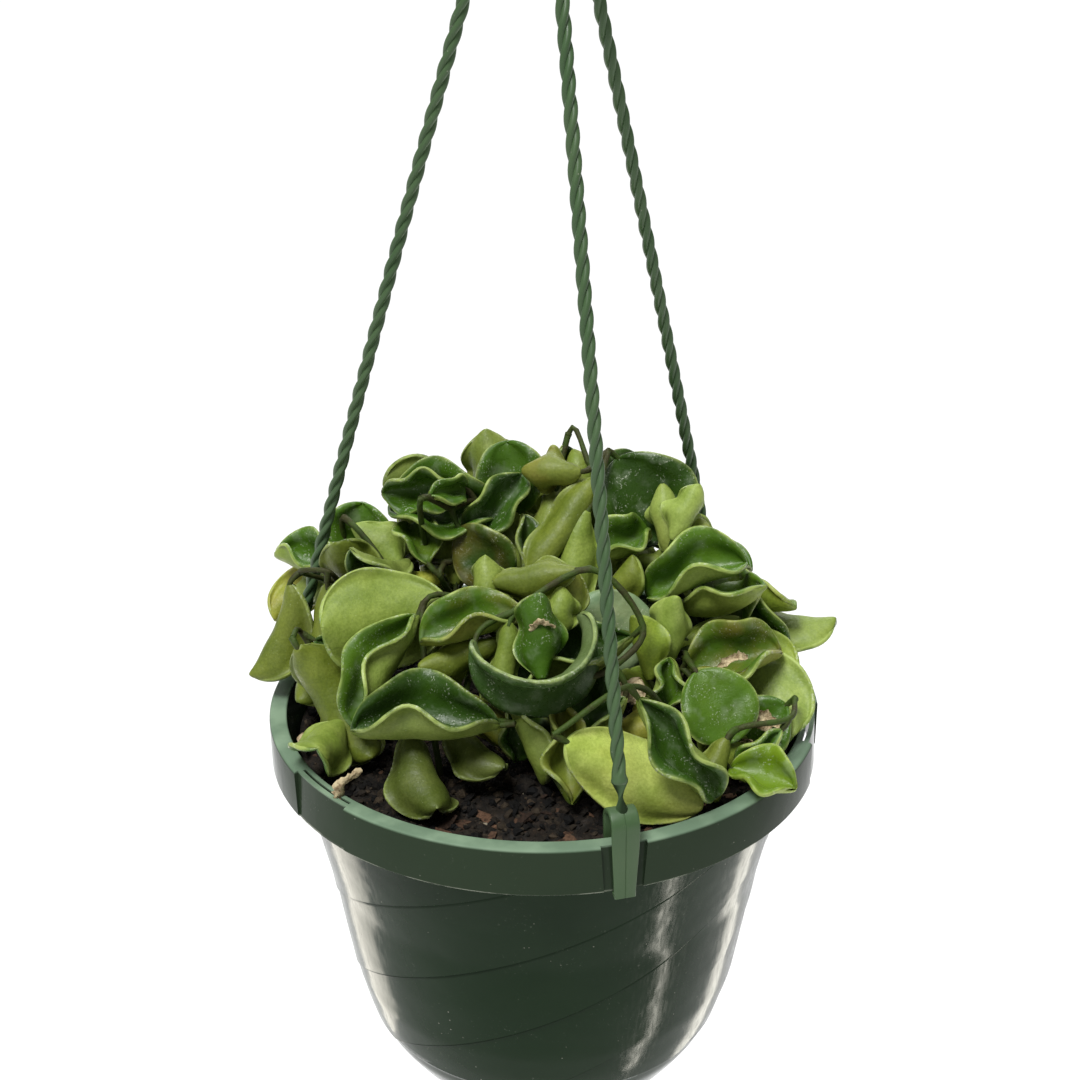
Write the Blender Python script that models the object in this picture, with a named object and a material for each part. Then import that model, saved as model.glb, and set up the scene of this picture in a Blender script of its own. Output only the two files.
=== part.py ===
"""A hindu rope plant in its hanging pot, in metres, with +Z up.

The origin is the middle of the pot's flat underside. Sizes in the tables are in millimetres and are
turned to metres where a mesh is made. Heights of the plant and the hanger are counted from the rim's top,
because everything there was placed against the rim.
"""
import math
from collections import namedtuple

import bmesh
import bpy
import numpy as np
from mathutils import Vector

MM = 0.001

# Pot: a double-walled rim (flange and skirt) on a tapered body with a round bottom.
POT_HEIGHT = 128.0
RIM_RADIUS = 82.5
FLANGE_INNER = 77.3
FLANGE_DEPTH = 1.8
SKIRT_INNER = 80.3
SKIRT_HEIGHT = 14.4
FLOOR = 2.0
SWIRLS = 7
SWIRL_STEPS = 4
SWIRL_RELIEF = 0.45
SWIRL_DEGREES_PER_MM = 1.8
SWIRL_ROWS = 12
DRAIN_HOLES = 6
DRAIN_RADIUS = 4.0
DRAIN_CIRCLE = 24.0

# The body's outer outline as radius and height above the underside.
BODY_FOOT = [(36.0, 0.0), (40.2, 2.0), (45.7, 8.0), (52.6, 18.0), (55.3, 23.8)]
BODY_SIDE = [(56.1, 24.6), (57.8, 30.0), (60.4, 40.0), (63.7, 58.0), (66.9, 77.0), (70.7, 93.0),
             (75.4, 112.0)]
INNER_SIDE = [(73.4, 112.0), (68.6, 93.0), (61.6, 58.0), (55.0, 27.0), (50.0, 17.0)]

# Azimuths are degrees from the front, towards +X. Three clips hold the rim, and three slits lie between.
CLIP_AZIMUTHS = (15.0, 135.0, 255.0)
CLIP_RECESS_HALF = (4.6, 3.8)
SLIT_AZIMUTHS = (-50.5, 79.0, 195.0)
SLIT_RECESS_HALF = (8.6, 8.0)
RECESS_TOP_RADIUS = 81.2
RECESS_BOTTOM_RADIUS = 81.9
SLIT_INNER = 79.0
SLIT_OUTER = 79.9

# Soil, which fills the pot to a little below the rim.
SOIL_SIDE = [(33.0, 2.6), (48.6, 17.8), (53.8, 28.0), (60.4, 58.2), (67.2, 92.8)]
SOIL_EDGE = (74.2, 119.0)
SOIL_MOUND = 2.5
SOIL_RINGS = (64.0, 52.0, 38.0, 20.0)
SOIL_COLUMNS = 24
HOLE_RADIUS = 3.1
HOLE_DEPTH = 15.0

# Hanger: the strands run straight from the clips towards one point on the axis.
STRAND_REACH = 81.5
STRAND_APEX = 271.0
STRAND_BOW = 1.5
ROPE_START = 17.5
ROPE_END = 224.0
ROPE_LOBE = 6.5
ROPE_STEPS = 2
ROPE_RADIUS = 2.2
ROPE_CORNERS = 3
NECK_RADIUS = 2.1
TOP_RADIUS = 1.9
BUTTON_RADIUS = 3.6
CLIP_HALF_WIDTHS = (3.9, 3.0)
CLIP_ARCH = (79.05, 5.05)
CLIP_ARCH_RADIUS = 4.55
CLIP_THICKNESS = 1.4
HUB_HEIGHTS = (232.0, 237.0)
HUB_RADIUS = 14.5
HUB_HOLE_RADIUS = 2.3
HOOK_ROD = 2.75
HOOK_BEND = 15.75
HOOK_CENTRE = 268.0

# Leaves and stems of the plant.
BLADE_ROWS = 24
BLADE_HALF = 10
LONG_BLADE = 25.0
LONG_BLADE_ROWS = (4, 9, 15, 20)
SHORT_BLADE_ROWS = (5, 12, 19)
WIDE_BLADE = 8.0
WIDE_BLADE_COLUMNS = (0, 5, 10, 15, 20)
NARROW_BLADE_COLUMNS = (0, 10, 20)
BLADE_THICKNESS = 1.3
EDGE_THICKNESS = 0.8
STALK_HALF = 0.6
STALK_SETBACK = 1.8
LIP_DEGREES = 60.0
LIP_START = 0.7
FOLD_REACH = 0.62
RIPPLE = 0.2
RIPPLES = 1.4
PETIOLE = 4.5
STEM_RADII = (1.45, 1.15)
STEM_SIDES = 5
STEM_EVENING = 2
STEM_SAMPLES = 16
STALK_SAMPLES = 3
FREE, STALK_ROW, STEM = 0, 1, 2
SHARPEST_BEND = 0.35
FACES_PER_LEAF = 76
VIEW_TILT = math.radians(30.0)

Leaf = namedtuple("Leaf", "at size pose bend seen_from")
Vine = namedtuple("Vine", "name root leaves")


def leaf(at, size, pose, bend, seen_from=0.0):
    """One leaf as a person sees it who stands at azimuth seen_from and looks 30 degrees down.

    at is its middle, from the rim's centre; size is its length and half width. pose is the angle of its
    midrib in the view, how far its tip leans towards the viewer, and how far it is rolled: 0 shows the
    upper side and 180 the underside. bend is the fold of each half, the arc of the midrib and its twist.
    """
    return Leaf(at, size, pose, bend, seen_from)


def portrait_vines():
    """The vines that face the front, leaf by leaf from the root to the tip."""
    return [
        Vine("vine_left", (-40, 14), [
            leaf((-35, 29, 28), (13, 7), (120, 10, 150), (97, 30, 0)),
            leaf((-64, 25, 28), (33, 13), (158, 5, 35), (98, 15, 20)),
            leaf((-56, 30, 36), (17, 11), (110, 0, 20), (45, -20, 0)),
            leaf((-46, 28, 35), (19, 10), (340, 0, -150), (69, 20, 0)),
            leaf((-53, 21, 25), (16, 5), (292, 0, -180), (45, 10, 0)),
            leaf((-44, 20, 31), (23, 12), (0, -5, -180), (98, 55, 0)),
            leaf((-59, 16, 24), (15, 10), (275, -5, -180), (93, 30, 0)),
            leaf((-68, 1, 20), (36, 16), (262, -5, 200), (83, -40, 10)),
            leaf((-77, 6, 20), (30, 12), (256, -10, 235), (83, -30, 0)),
            leaf((-67, 33, 20), (20, 9), (200, 0, 160), (87, 20, 0)),
        ]),
        Vine("vine_crown_left", (-24, 20), [
            leaf((-27, 2, 20), (20, 9), (240, 0, 20), (89, 20, 0)),
            leaf((-13, 23, 40), (27, 17), (88, 0, -155), (83, 40, 0)),
            leaf((-29, 26, 36), (22, 15), (90, -5, -180), (91, 50, 0)),
            leaf((-40, 25, 40), (17, 9), (135, 0, 30), (69, 0, 0)),
            leaf((-12, 27, 51), (27, 11), (48, 5, -20), (83, 10, 50)),
            leaf((-42, 29, 44), (18, 9), (110, 0, 160), (83, 20, 0)),
            leaf((-28, 25, 56), (16, 6), (80, 0, 40), (74, 0, 50)),
            leaf((-13, 17, 44), (21, 10), (275, -5, 0), (28, -20, 0)),
            leaf((-34, 30, 53), (23, 11), (172, 5, -40), (83, 20, 20)),
            leaf((-16, 32, 56), (28, 16), (82, 0, 180), (80, 50, 0)),
            leaf((-29, 29, 50), (33, 17), (182, -5, 15), (77, -15, -10)),
            leaf((-9, 34, 56), (22, 11), (95, -5, 0), (45, -20, 0)),
            leaf((-45, 34, 30), (18, 9), (95, 0, 180), (89, 40, 0)),
            leaf((-29, 34, 30), (19, 10), (60, 0, -20), (87, 20, 20)),
        ]),
        Vine("vine_crown_right", (10, 20), [
            leaf((-6, 16, 41), (22, 6), (85, 0, 10), (83, 0, 20)),
            leaf((26, 8, 35), (19, 9), (0, 0, 150), (83, 10, 0)),
            leaf((2, 27, 51), (18, 11), (80, -5, -180), (91, 50, 0)),
            leaf((27, 18, 43), (19, 12), (15, 5, -50), (91, 0, 0)),
            leaf((10, 30, 55), (26, 11), (100, 0, 150), (83, 90, 0)),
            leaf((22, 32, 54), (22, 12), (65, 0, 0), (45, -20, 0)),
            leaf((9, 13, 41), (35, 10), (262, 5, 190), (69, 20, 70)),
            leaf((5, 16, 47), (36, 10), (223, -5, -200), (83, 20, -15)),
            leaf((28, 28, 51), (28, 17), (298, -5, 12), (39, -20, 0)),
            leaf((1, 29, 56), (18, 11), (200, 5, 180), (91, 50, 0)),
            leaf((3, 33, 59), (15, 10), (260, 0, -10), (62, -20, 0)),
            leaf((5, 19, 30), (20, 10), (100, 0, 20), (89, 20, 0)),
            leaf((24, 33, 30), (18, 9), (250, 0, 180), (84, 30, 0)),
        ]),
        Vine("vine_right", (50, 4), [
            leaf((55, 15, 28), (19, 11), (90, 0, 0), (45, -20, 0)),
            leaf((50, 12, 34), (16, 7), (100, 0, 170), (83, 10, 0)),
            leaf((34, 15, 40), (11, 7), (180, 0, 150), (98, 40, 0)),
            leaf((42, 17, 50), (18, 10), (85, 5, 180), (97, 40, 0)),
            leaf((44, 15, 42), (13, 9), (60, 5, 160), (69, 30, 0)),
            leaf((36, 20, 48), (22, 11), (70, 0, 170), (97, 50, 0)),
            leaf((57, -3, 20), (35, 15), (322, 5, 180), (39, -20, 0)),
            leaf((43, 5, 34), (31, 15), (5, 5, -35), (91, -30, 0)),
            leaf((46, 32, 20), (20, 10), (120, 0, 160), (87, 30, 0)),
        ]),
        Vine("vine_centre", (-4, -26), [
            leaf((-4, -32, 37), (23, 11), (90, 5, 0), (-83, -10, 0)),
            leaf((4, -44, 8), (31, 12), (276, 12, 180), (-98, -60, 0)),
            leaf((11, -39, 9), (29, 10), (268, 5, 50), (98, 0, 0)),
            leaf((0, -29, 24), (48, 20), (202, -5, 48), (83, 50, 0)),
            leaf((-2, -16, 44), (24, 9), (200, 0, -170), (77, 20, 0)),
            leaf((0, -36, 32), (54, 13), (5, 0, 58), (35, -200, 0)),
            leaf((-10, -31, 33), (19, 7), (258, -5, -170), (83, 0, 0)),
            leaf((-18, -23, 35), (31, 13), (198, -5, 42), (83, 0, 0)),
            leaf((-1, -22, 40), (15, 9), (95, 0, 180), (87, 70, 0)),
            leaf((4, -17, 42), (15, 7), (60, 0, 170), (69, 20, 0)),
            leaf((-1, -39, 10), (26, 10), (262, 5, -55), (97, 0, 0)),
            leaf((-25, -26, 27), (23, 11), (195, 8, 200), (98, 10, 0)),
            leaf((-9, -34, 10), (18, 7), (275, 0, 0), (69, 0, 0)),
            leaf((-14, -30, 11), (17, 6), (280, 0, 180), (69, 0, 20)),
            leaf((-14, -14, 43), (18, 11), (82, 0, 165), (98, 20, 0)),
            leaf((14, 22, 25), (18, 9), (110, 0, 0), (89, 20, 0)),
        ]),
        Vine("vine_front_left", (-30, -34), [
            leaf((-33, -50, 5), (27, 13), (266, 12, 165), (83, -20, 25)),
            leaf((-40, -27, 26), (37, 15), (224, 5, 50), (98, 10, 0)),
            leaf((-46, -13, 31), (39, 16), (190, 5, 172), (39, -20, 10)),
            leaf((-19, -40, 7), (22, 10), (292, 5, 150), (77, 0, 0)),
            leaf((-32, -42, 18), (41, 18), (184, 5, 48), (91, 15, 0)),
        ]),
        Vine("vine_rim_left", (-52, -18), [
            leaf((-64, -34, 3), (22, 11), (250, 8, 165), (69, -20, 0)),
            leaf((-56, -14, 18), (24, 10), (350, 0, -20), (83, 0, 0)),
            leaf((-61, -24, 9), (38, 18), (292, 5, 178), (91, -30, -30)),
        ]),
        Vine("vine_disc", (17, -22), [
            leaf((21, -7, 25), (25, 13), (75, -5, -2), (10, -12, 0)),
            leaf((24, -31, 7), (19, 12), (5, 5, 180), (81, 50, 0)),
            leaf((10, -22, 15), (29, 10), (95, 0, -5), (62, 0, 0)),
            leaf((16, -29, 7), (9, 5), (90, 0, 180), (83, 20, 0)),
        ]),
        Vine("vine_front_right", (42, -20), [
            leaf((35, -21, 14), (15, 10), (100, 0, 0), (98, 0, 0)),
            leaf((29, -17, 15), (13, 7), (150, 0, 180), (69, 30, 0)),
            leaf((33, -15, 24), (19, 9), (100, 0, 155), (83, 10, 0)),
            leaf((37, -13, 26), (24, 10), (84, 0, 180), (97, 10, 0)),
            leaf((52, -13, 19), (29, 15), (12, 5, -30), (83, 0, 0)),
            leaf((46, -30, 9), (32, 9), (298, 5, 185), (69, 60, 50)),
            leaf((49, -31, 15), (22, 11), (290, 10, 0), (22, -10, 0)),
            leaf((65, -14, 9), (36, 15), (302, 5, 180), (39, -40, 0)),
            leaf((26, 5, 20), (18, 9), (70, 0, 180), (82, 40, 0)),
        ]),
        Vine("vine_over_rim", (32, -46), [
            leaf((29, -48, 8), (15, 7), (242, 0, -160), (98, 20, 0)),
            leaf((39, -62, 10), (35, 13), (300, 8, 0), (98, 0, 0)),
            leaf((27, -60, 6), (42, 12), (338, 3, -180), (44, -15, 15)),
        ]),
        Vine("vine_rim_right", (48, -36), [
            leaf((64, -52, 5), (19, 10), (345, 5, -30), (69, 10, 0)),
            leaf((54, -49, 3), (17, 9), (200, -5, -180), (98, 0, 0)),
            leaf((60, -48, 4), (17, 6), (250, 0, -20), (83, 0, 0)),
            leaf((66, -28, 2), (19, 10), (220, 0, 0), (34, 0, 0)),
        ]),
    ]


BACK_SECTORS = (("vine_back_right", 124.0, 0.5), ("vine_back", 150.0, 0.8),
                ("vine_back_middle", 195.0, 1.0), ("vine_back_left", 236.0, 0.85))
BACK_LEAVES = 8
BACK_SEED = 14
BACK_RADII = (42.0, 67.0)
BACK_LENGTHS = (20.0, 34.0)
BACK_WIDTHS = (0.34, 0.46)
BACK_ROLLS = (0, -40, 40, 180, 150, 210)
BACK_HABITS = ((62, 20, 0), (75, 55, 0), (45, -20, 10), (85, 10, 0), (60, 60, 30), (40, -15, -20),
               (65, -40, 0))


def dome_height(radius, share):
    """Height of the foliage over the rim at a radius, with a share of the full dome's rise."""
    return 10.0 + 43.0 * share * (1.0 - (radius / 86.0) ** 2)


def back_vines():
    """The vines behind, one to a sector, each with leaves to both sides of a stem that runs down the dome."""
    draw = np.random.default_rng(BACK_SEED)
    vines = []
    for name, azimuth, share in BACK_SECTORS:
        leaves = []
        for i in range(BACK_LEAVES):
            part = i / (BACK_LEAVES - 1)
            radius = BACK_RADII[0] + (BACK_RADII[1] - BACK_RADII[0]) * part
            side = 1 if i % 2 else -1
            turn = math.radians(azimuth + side * 2.0)
            node = np.array((radius * math.sin(turn), -radius * math.cos(turn), dome_height(radius, share)))
            length = draw.uniform(*BACK_LENGTHS)
            lay = 270 + side * (draw.uniform(25, 65) + 55 * (1 - part))
            size = (length, length * draw.uniform(*BACK_WIDTHS))
            pose = (lay, draw.uniform(0, 25), draw.choice(BACK_ROLLS))
            one = leaf(node, size, pose, BACK_HABITS[draw.integers(len(BACK_HABITS))], azimuth)
            at = node + leaf_axes(one)[:, 0] * (0.5 * length + PETIOLE + 1.0)
            leaves.append(one._replace(at=tuple(at)))
        turn = math.radians(azimuth)
        root = (BACK_RADII[0] * math.sin(turn), -BACK_RADII[0] * math.cos(turn))
        vines.append(Vine(name, root, leaves))
    return vines


def viewer_axes(seen_from):
    """Right, up and towards, for a viewer at an azimuth who looks down at the plant."""
    a = math.radians(seen_from)
    right = np.array((math.cos(a), math.sin(a), 0.0))
    level = np.array((math.sin(a), -math.cos(a), 0.0))
    towards = level * math.cos(VIEW_TILT) + np.array((0, 0, math.sin(VIEW_TILT)))
    return right, np.cross(towards, right), towards


def leaf_axes(one):
    """Columns are the leaf's length, its width and its upper side's normal, in the plant's frame."""
    right, up, towards = viewer_axes(one.seen_from)
    lay, lean, face = (math.radians(v) for v in one.pose)
    along = math.cos(lean) * (math.cos(lay) * right + math.sin(lay) * up) + math.sin(lean) * towards
    normal = towards - np.dot(towards, along) * along
    normal /= np.linalg.norm(normal)
    normal = math.cos(face) * normal + math.sin(face) * np.cross(along, normal)
    return np.stack((along, np.cross(normal, along), normal), axis=1)


def blade_grid(one):
    """The middle surface of a leaf about its own centre, in mm, and the unit direction of its stalk.

    The midrib is an arc in the plane of length and normal. From each of its points the two halves run
    out. Their slope grows fast up to the fold, ripples along the leaf and falls back at the lip, where
    the margin rolls outwards. The half width is blunt at the tip and fuller near the stalk.
    """
    length, half_width = one.size
    fold, arc, twist = (math.radians(v) for v in one.bend)
    u = 0.5 - 0.5 * np.cos(math.pi * np.linspace(0, 1, BLADE_ROWS + 1))
    slope = arc * (u - 0.5)
    tangent = np.stack((np.cos(slope), 0 * u, np.sin(slope)), axis=1)
    normal = np.stack((-np.sin(slope), 0 * u, np.cos(slope)), axis=1)
    steps = 0.5 * (tangent[1:] + tangent[:-1]) * length * np.diff(u)[:, None]
    midrib = np.vstack((np.zeros(3), np.cumsum(steps, axis=0)))
    turn = twist * (u - 0.5)
    level = np.array((0.0, 1.0, 0.0))
    side = np.cos(turn)[:, None] * level + np.sin(turn)[:, None] * normal
    rise = -np.sin(turn)[:, None] * level + np.cos(turn)[:, None] * normal
    width = 1.19 * half_width * (1 - (1 - u) ** 2.6) ** 0.6 * (1 - u ** 3.5) ** 0.5
    q = (np.arange(BLADE_HALF) + 0.5) / BLADE_HALF
    phase = one.at[0] + one.at[1]
    grid = np.zeros((BLADE_ROWS + 1, 2 * BLADE_HALF + 1, 3))
    grid[:, BLADE_HALF] = midrib
    for sign in (-1, 1):
        ripple = 1 + RIPPLE * np.sin(2 * math.pi * RIPPLES * u + phase + sign)
        rolled = np.clip((q - LIP_START) / (1 - LIP_START), 0, 1) ** 1.3
        lip = math.copysign(math.radians(LIP_DEGREES), fold) * rolled
        angle = fold * ripple[:, None] * np.clip(q / FOLD_REACH, 0, 1)[None] ** 0.85 - lip[None]
        reach = np.cumsum(np.cos(angle), axis=1) * width[:, None] / BLADE_HALF
        lift = np.cumsum(np.sin(angle), axis=1) * width[:, None] / BLADE_HALF
        half = midrib[:, None] + sign * reach[..., None] * side[:, None] + lift[..., None] * rise[:, None]
        columns = BLADE_HALF + sign * np.arange(1, BLADE_HALF + 1)
        grid[:, columns] = half
    centre = grid.mean(axis=(0, 1))
    return grid - centre, tangent[0]


def stem_foot(vine):
    """The point just over the soil where a vine's stem comes out, mm from the rim's centre."""
    x, y = vine.root
    return np.array((x, y, soil_height(x, y) - POT_HEIGHT + 1.5))


def soil_height(x, y):
    """Height of the soil over the pot's underside: a low mound with a rough, crumbly relief."""
    part = np.clip(np.hypot(x, y) / SOIL_EDGE[0], 0, 1)
    rough = np.sin(0.31 * x + 1.3) * np.cos(0.27 * y) + 0.6 * np.sin(0.53 * y - 0.41 * x)
    return SOIL_EDGE[1] + SOIL_MOUND * (1 - part ** 2) + 0.6 * rough * (1 - part ** 4)


def strand_point(azimuth, height):
    """A point on a strand's middle line, mm from the rim's centre, with its slight outward bow."""
    a = math.radians(azimuth)
    part = height / STRAND_APEX
    radius = STRAND_REACH * (1 - part) + 4 * STRAND_BOW * part * (1 - part)
    return np.array((radius * math.sin(a), -radius * math.cos(a), height))


def close_pairs(points, reach):
    """Index pairs of points whose cells in a grid of the given size touch, each pair once."""
    cell = np.floor((points - points.min(axis=0)) / reach).astype(np.int64) + 1
    span = cell.max(axis=0) + 2
    key = (cell[:, 0] * span[1] + cell[:, 1]) * span[2] + cell[:, 2]
    order = np.argsort(key, kind="stable")
    cells, start, count = np.unique(key[order], return_index=True, return_counts=True)
    firsts, seconds = [], []
    beside = [(x, y, z) for x in (0, 1) for y in (-1, 0, 1) for z in (-1, 0, 1) if (x, y, z) >= (0, 0, 0)]
    for x, y, z in beside:
        other = key + (x * span[1] + y) * span[2] + z
        slot = np.minimum(np.searchsorted(cells, other), len(cells) - 1)
        who = np.nonzero(cells[slot] == other)[0]
        many = count[slot[who]]
        first = np.repeat(who, many)
        within = np.arange(len(first)) - np.repeat(np.cumsum(many) - many, many)
        second = order[np.repeat(start[slot[who]], many) + within]
        once = first < second if (x, y, z) == (0, 0, 0) else slice(None)
        firsts.append(first[once])
        seconds.append(second[once])
    return np.concatenate(firsts), np.concatenate(seconds)


class Thicket:
    """All the leaves together, which grow from small to full size while they push each other aside."""

    STEPS = 90
    FREE_STEPS = 50
    GROWN_AT = 0.75
    SEEDLING = 0.12
    CLEAR = 2.4
    GIVE = 0.5
    MOVE_LIMIT = 1.3
    LEASH = 9.0
    BETWEEN = 3.3
    WITHIN = 2.4
    HOME = 0.02
    TURN_LIMIT = math.radians(3.5)
    POT_GAP = 1.7
    STRAND_GAP = 4.8
    CLIP_GAP = 6.6
    CLIP_TOP = 14.0
    WALL_LEAN = 0.237

    def __init__(self, vines):
        self.vines = vines
        self.leaves = [one for vine in vines for one in vine.leaves]
        self.vine_of = np.array([i for i, vine in enumerate(vines) for _ in vine.leaves])
        self.feet = np.array([stem_foot(vine) for vine in vines])
        self.centre = np.array([one.at for one in self.leaves], dtype=float)
        self.home = self.centre.copy()
        self.axes = np.array([leaf_axes(one) for one in self.leaves])
        blades = [blade_grid(one) for one in self.leaves]
        self.grids = np.array([grid for grid, _ in blades])
        rows, columns = np.arange(1, BLADE_ROWS, 2), np.arange(0, 2 * BLADE_HALF + 1, 2)
        self.samples = self.grids[:, rows[:, None], columns].reshape(len(self.leaves), -1, 3)
        base = self.grids[:, 0, BLADE_HALF]
        self.roots = base - PETIOLE * np.array([stalk for _, stalk in blades])
        self.size = np.linalg.norm(self.samples, axis=2).max(axis=1)
        blade_role = np.where(np.repeat(rows, len(columns)) > 4, FREE, STALK_ROW)
        self.role = np.r_[blade_role, np.full(STEM_SAMPLES, STEM)]

    def placed(self, local, scale=1.0):
        """Local points of every leaf, turned and moved to their place."""
        return np.einsum("nij,nkj->nki", self.axes, local * scale) + self.centre[:, None]

    def neighbours(self, joints):
        """The joint before and the joint after each one on its stem, which starts over the soil."""
        same = self.vine_of[1:] == self.vine_of[:-1]
        before = np.where(np.r_[False, same][:, None], np.roll(joints, 1, 0), self.feet[self.vine_of])
        after = np.where(np.r_[same, False][:, None], np.roll(joints, -1, 0), joints)
        return before, after

    def joints(self, scale=1.0):
        """Where each stalk meets its stem: the stalks' ends, evened out but kept behind their blades."""
        straight = self.placed(self.roots[:, None], scale)[:, 0]
        base = self.placed(self.grids[:, :1, BLADE_HALF], scale)[:, 0]
        joints = straight
        for _ in range(STEM_EVENING):
            before, after = self.neighbours(joints)
            joints = 0.5 * joints + 0.25 * (before + after)
        lengths = np.linalg.norm(base - joints, axis=1) * np.linalg.norm(base - straight, axis=1)
        behind = ((base - joints) * (base - straight)).sum(axis=1) / lengths
        back = np.clip((0.75 - behind) / 0.75, 0, 1)[:, None]
        return joints + (straight - joints) * back

    def stem_samples(self, joints, blade_base):
        """Points on each leaf's stalk, half way up the stem, and half way or right down to the soil."""
        before, after = self.neighbours(joints)
        reach = np.where(np.r_[True, self.vine_of[1:] != self.vine_of[:-1]], 1.0, 0.5)[:, None]
        parts = [joints + (blade_base - joints) * f for f in (0.0, 0.35, 0.7)]
        parts += [joints + (after - joints) * f for f in (0.17, 0.34, 0.5)]
        parts += [joints + (before - joints) * f * reach for f in np.linspace(0.1, 1.0, 10)]
        return np.stack(parts, axis=1)

    def push_apart(self, points, push):
        """Add to push what neighbouring leaves ask of each other, as direction, turn, weight and depth."""
        flat = points.reshape(-1, 3)
        i, j = close_pairs(flat, self.BETWEEN)
        per_leaf = points.shape[1]
        a, b = i // per_leaf, j // per_leaf
        same = self.vine_of[a] == self.vine_of[b]
        role_i, role_j = self.role[i % per_leaf], self.role[j % per_leaf]
        blades = (role_i != STALK_ROW) & (role_j != STALK_ROW) & ((role_i == FREE) | (role_j == FREE))
        keep = (a != b) & (~same | blades)
        i, j, a, b, same = i[keep], j[keep], a[keep], b[keep], same[keep]
        reach = np.where(same, self.WITHIN, self.BETWEEN)
        line = flat[i] - flat[j]
        gap = np.linalg.norm(line, axis=1) + 1e-6
        near = gap < reach
        i, j, a, b, reach, gap = i[near], j[near], a[near], b[near], reach[near], gap[near]
        line = line[near] / gap[:, None]
        self.tightest = gap[~same[near]].min(initial=self.BETWEEN)
        self.record(push, a, flat[i], line, reach - gap)
        self.record(push, b, flat[j], -line, reach - gap)

    def record(self, push, who, where, direction, depth):
        """Sum the asked direction and turn of each leaf, weighted by depth, and keep the deepest."""
        arm = where - self.centre[who]
        np.add.at(push["move"], who, direction * depth[:, None])
        np.add.at(push["turn"], who, np.cross(arm, direction) * depth[:, None])
        np.add.at(push["weight"], who, depth)
        np.maximum.at(push["depth"], who, depth)

    def push_from_pot(self, points, push):
        """Keep every point over the soil, off the rim and the wall, and clear of the strands."""
        flat = points.reshape(-1, 3)
        who = np.repeat(np.arange(len(points)), points.shape[1])
        radius = np.hypot(flat[:, 0], flat[:, 1]) + 1e-6
        outward = np.stack((flat[:, 0], flat[:, 1], 0 * radius), axis=1) / radius[:, None]
        upward = np.tile((0.0, 0.0, 1.0), (len(flat), 1))
        clear = self.POT_GAP
        soil = SOIL_EDGE[1] - POT_HEIGHT + SOIL_MOUND * (1 - (radius / SOIL_EDGE[0]) ** 2) + clear + 0.8
        self.obey(push, who, flat, upward, soil - flat[:, 2], radius < FLANGE_INNER)
        low = flat[:, 2] < clear
        wall = FLANGE_INNER + self.WALL_LEAN * np.minimum(flat[:, 2], 0) - clear
        inside = radius < 0.5 * (FLANGE_INNER + RIM_RADIUS)
        self.obey(push, who, flat, -outward, radius - wall, low & inside)
        over = (radius > FLANGE_INNER - clear) & (radius < RIM_RADIUS + clear) & (flat[:, 2] > -6)
        self.obey(push, who, flat, upward, clear - flat[:, 2], over)
        for azimuth in CLIP_AZIMUTHS:
            foot, top = strand_point(azimuth, -16.0), strand_point(azimuth, 120.0)
            axis = (top - foot) / np.linalg.norm(top - foot)
            arm = flat - foot
            across = arm - (arm @ axis)[:, None] * axis
            gap = np.linalg.norm(across, axis=1) + 1e-6
            reach = np.where(flat[:, 2] < self.CLIP_TOP, self.CLIP_GAP, self.STRAND_GAP)
            self.obey(push, who, flat, across / gap[:, None], reach - gap, gap < reach)

    def obey(self, push, who, where, direction, depth, mask):
        """Record the pushes of one obstacle on the points that it reaches."""
        hit = mask & (depth > 0)
        self.record(push, who[hit], where[hit], direction[hit], np.minimum(depth[hit], 3.0) * 2)

    def step(self, scale, homing):
        """Move and turn each leaf once by what its neighbours, the pot and its own first place ask."""
        blade = self.placed(self.samples, scale)
        base = self.placed(self.grids[:, :1, BLADE_HALF], scale)[:, 0]
        stems = self.stem_samples(self.joints(scale), base)
        points = np.concatenate((blade, stems), axis=1)
        count = len(self.leaves)
        push = {"move": np.zeros((count, 3)), "turn": np.zeros((count, 3)),
                "weight": np.full(count, 1e-6), "depth": np.zeros(count)}
        self.push_apart(points, push)
        self.push_from_pot(points[:, :blade.shape[1] + STALK_SAMPLES], push)
        amount = self.GIVE * push["depth"] / push["weight"]
        move = push["move"] * amount[:, None]
        length = np.linalg.norm(move, axis=1) + 1e-9
        move *= (np.minimum(length, self.MOVE_LIMIT) / length)[:, None]
        self.centre += move + (self.home - self.centre) * homing
        strayed = self.centre - self.home
        length = np.linalg.norm(strayed, axis=1) + 1e-9
        self.centre = self.home + strayed * (np.minimum(length, self.LEASH) / length)[:, None]
        spin = push["turn"] * (amount / (self.size ** 2) * 1.6)[:, None]
        angle = np.linalg.norm(spin, axis=1) + 1e-9
        limit = np.minimum(angle, self.TURN_LIMIT) / angle
        self.axes = turned(self.axes, spin * limit[:, None])

    def settle(self):
        """Grow the leaves, let them find room and return their grids and stalk ends, mm from the rim."""
        for i in range(self.STEPS + self.FREE_STEPS):
            grown = min(1.0, (i + 1) / (self.STEPS * self.GROWN_AT))
            size = self.SEEDLING + (1 - self.SEEDLING) * grown
            self.step(size, self.HOME if i < self.STEPS else 0.0)
            if i >= self.STEPS and self.tightest > self.CLEAR:
                break
        self.centre = np.round(self.centre, 2)
        rows, columns = self.grids.shape[1:3]
        full = self.placed(self.grids.reshape(len(self.leaves), -1, 3))
        return full.reshape(-1, rows, columns, 3), self.joints()


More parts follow.
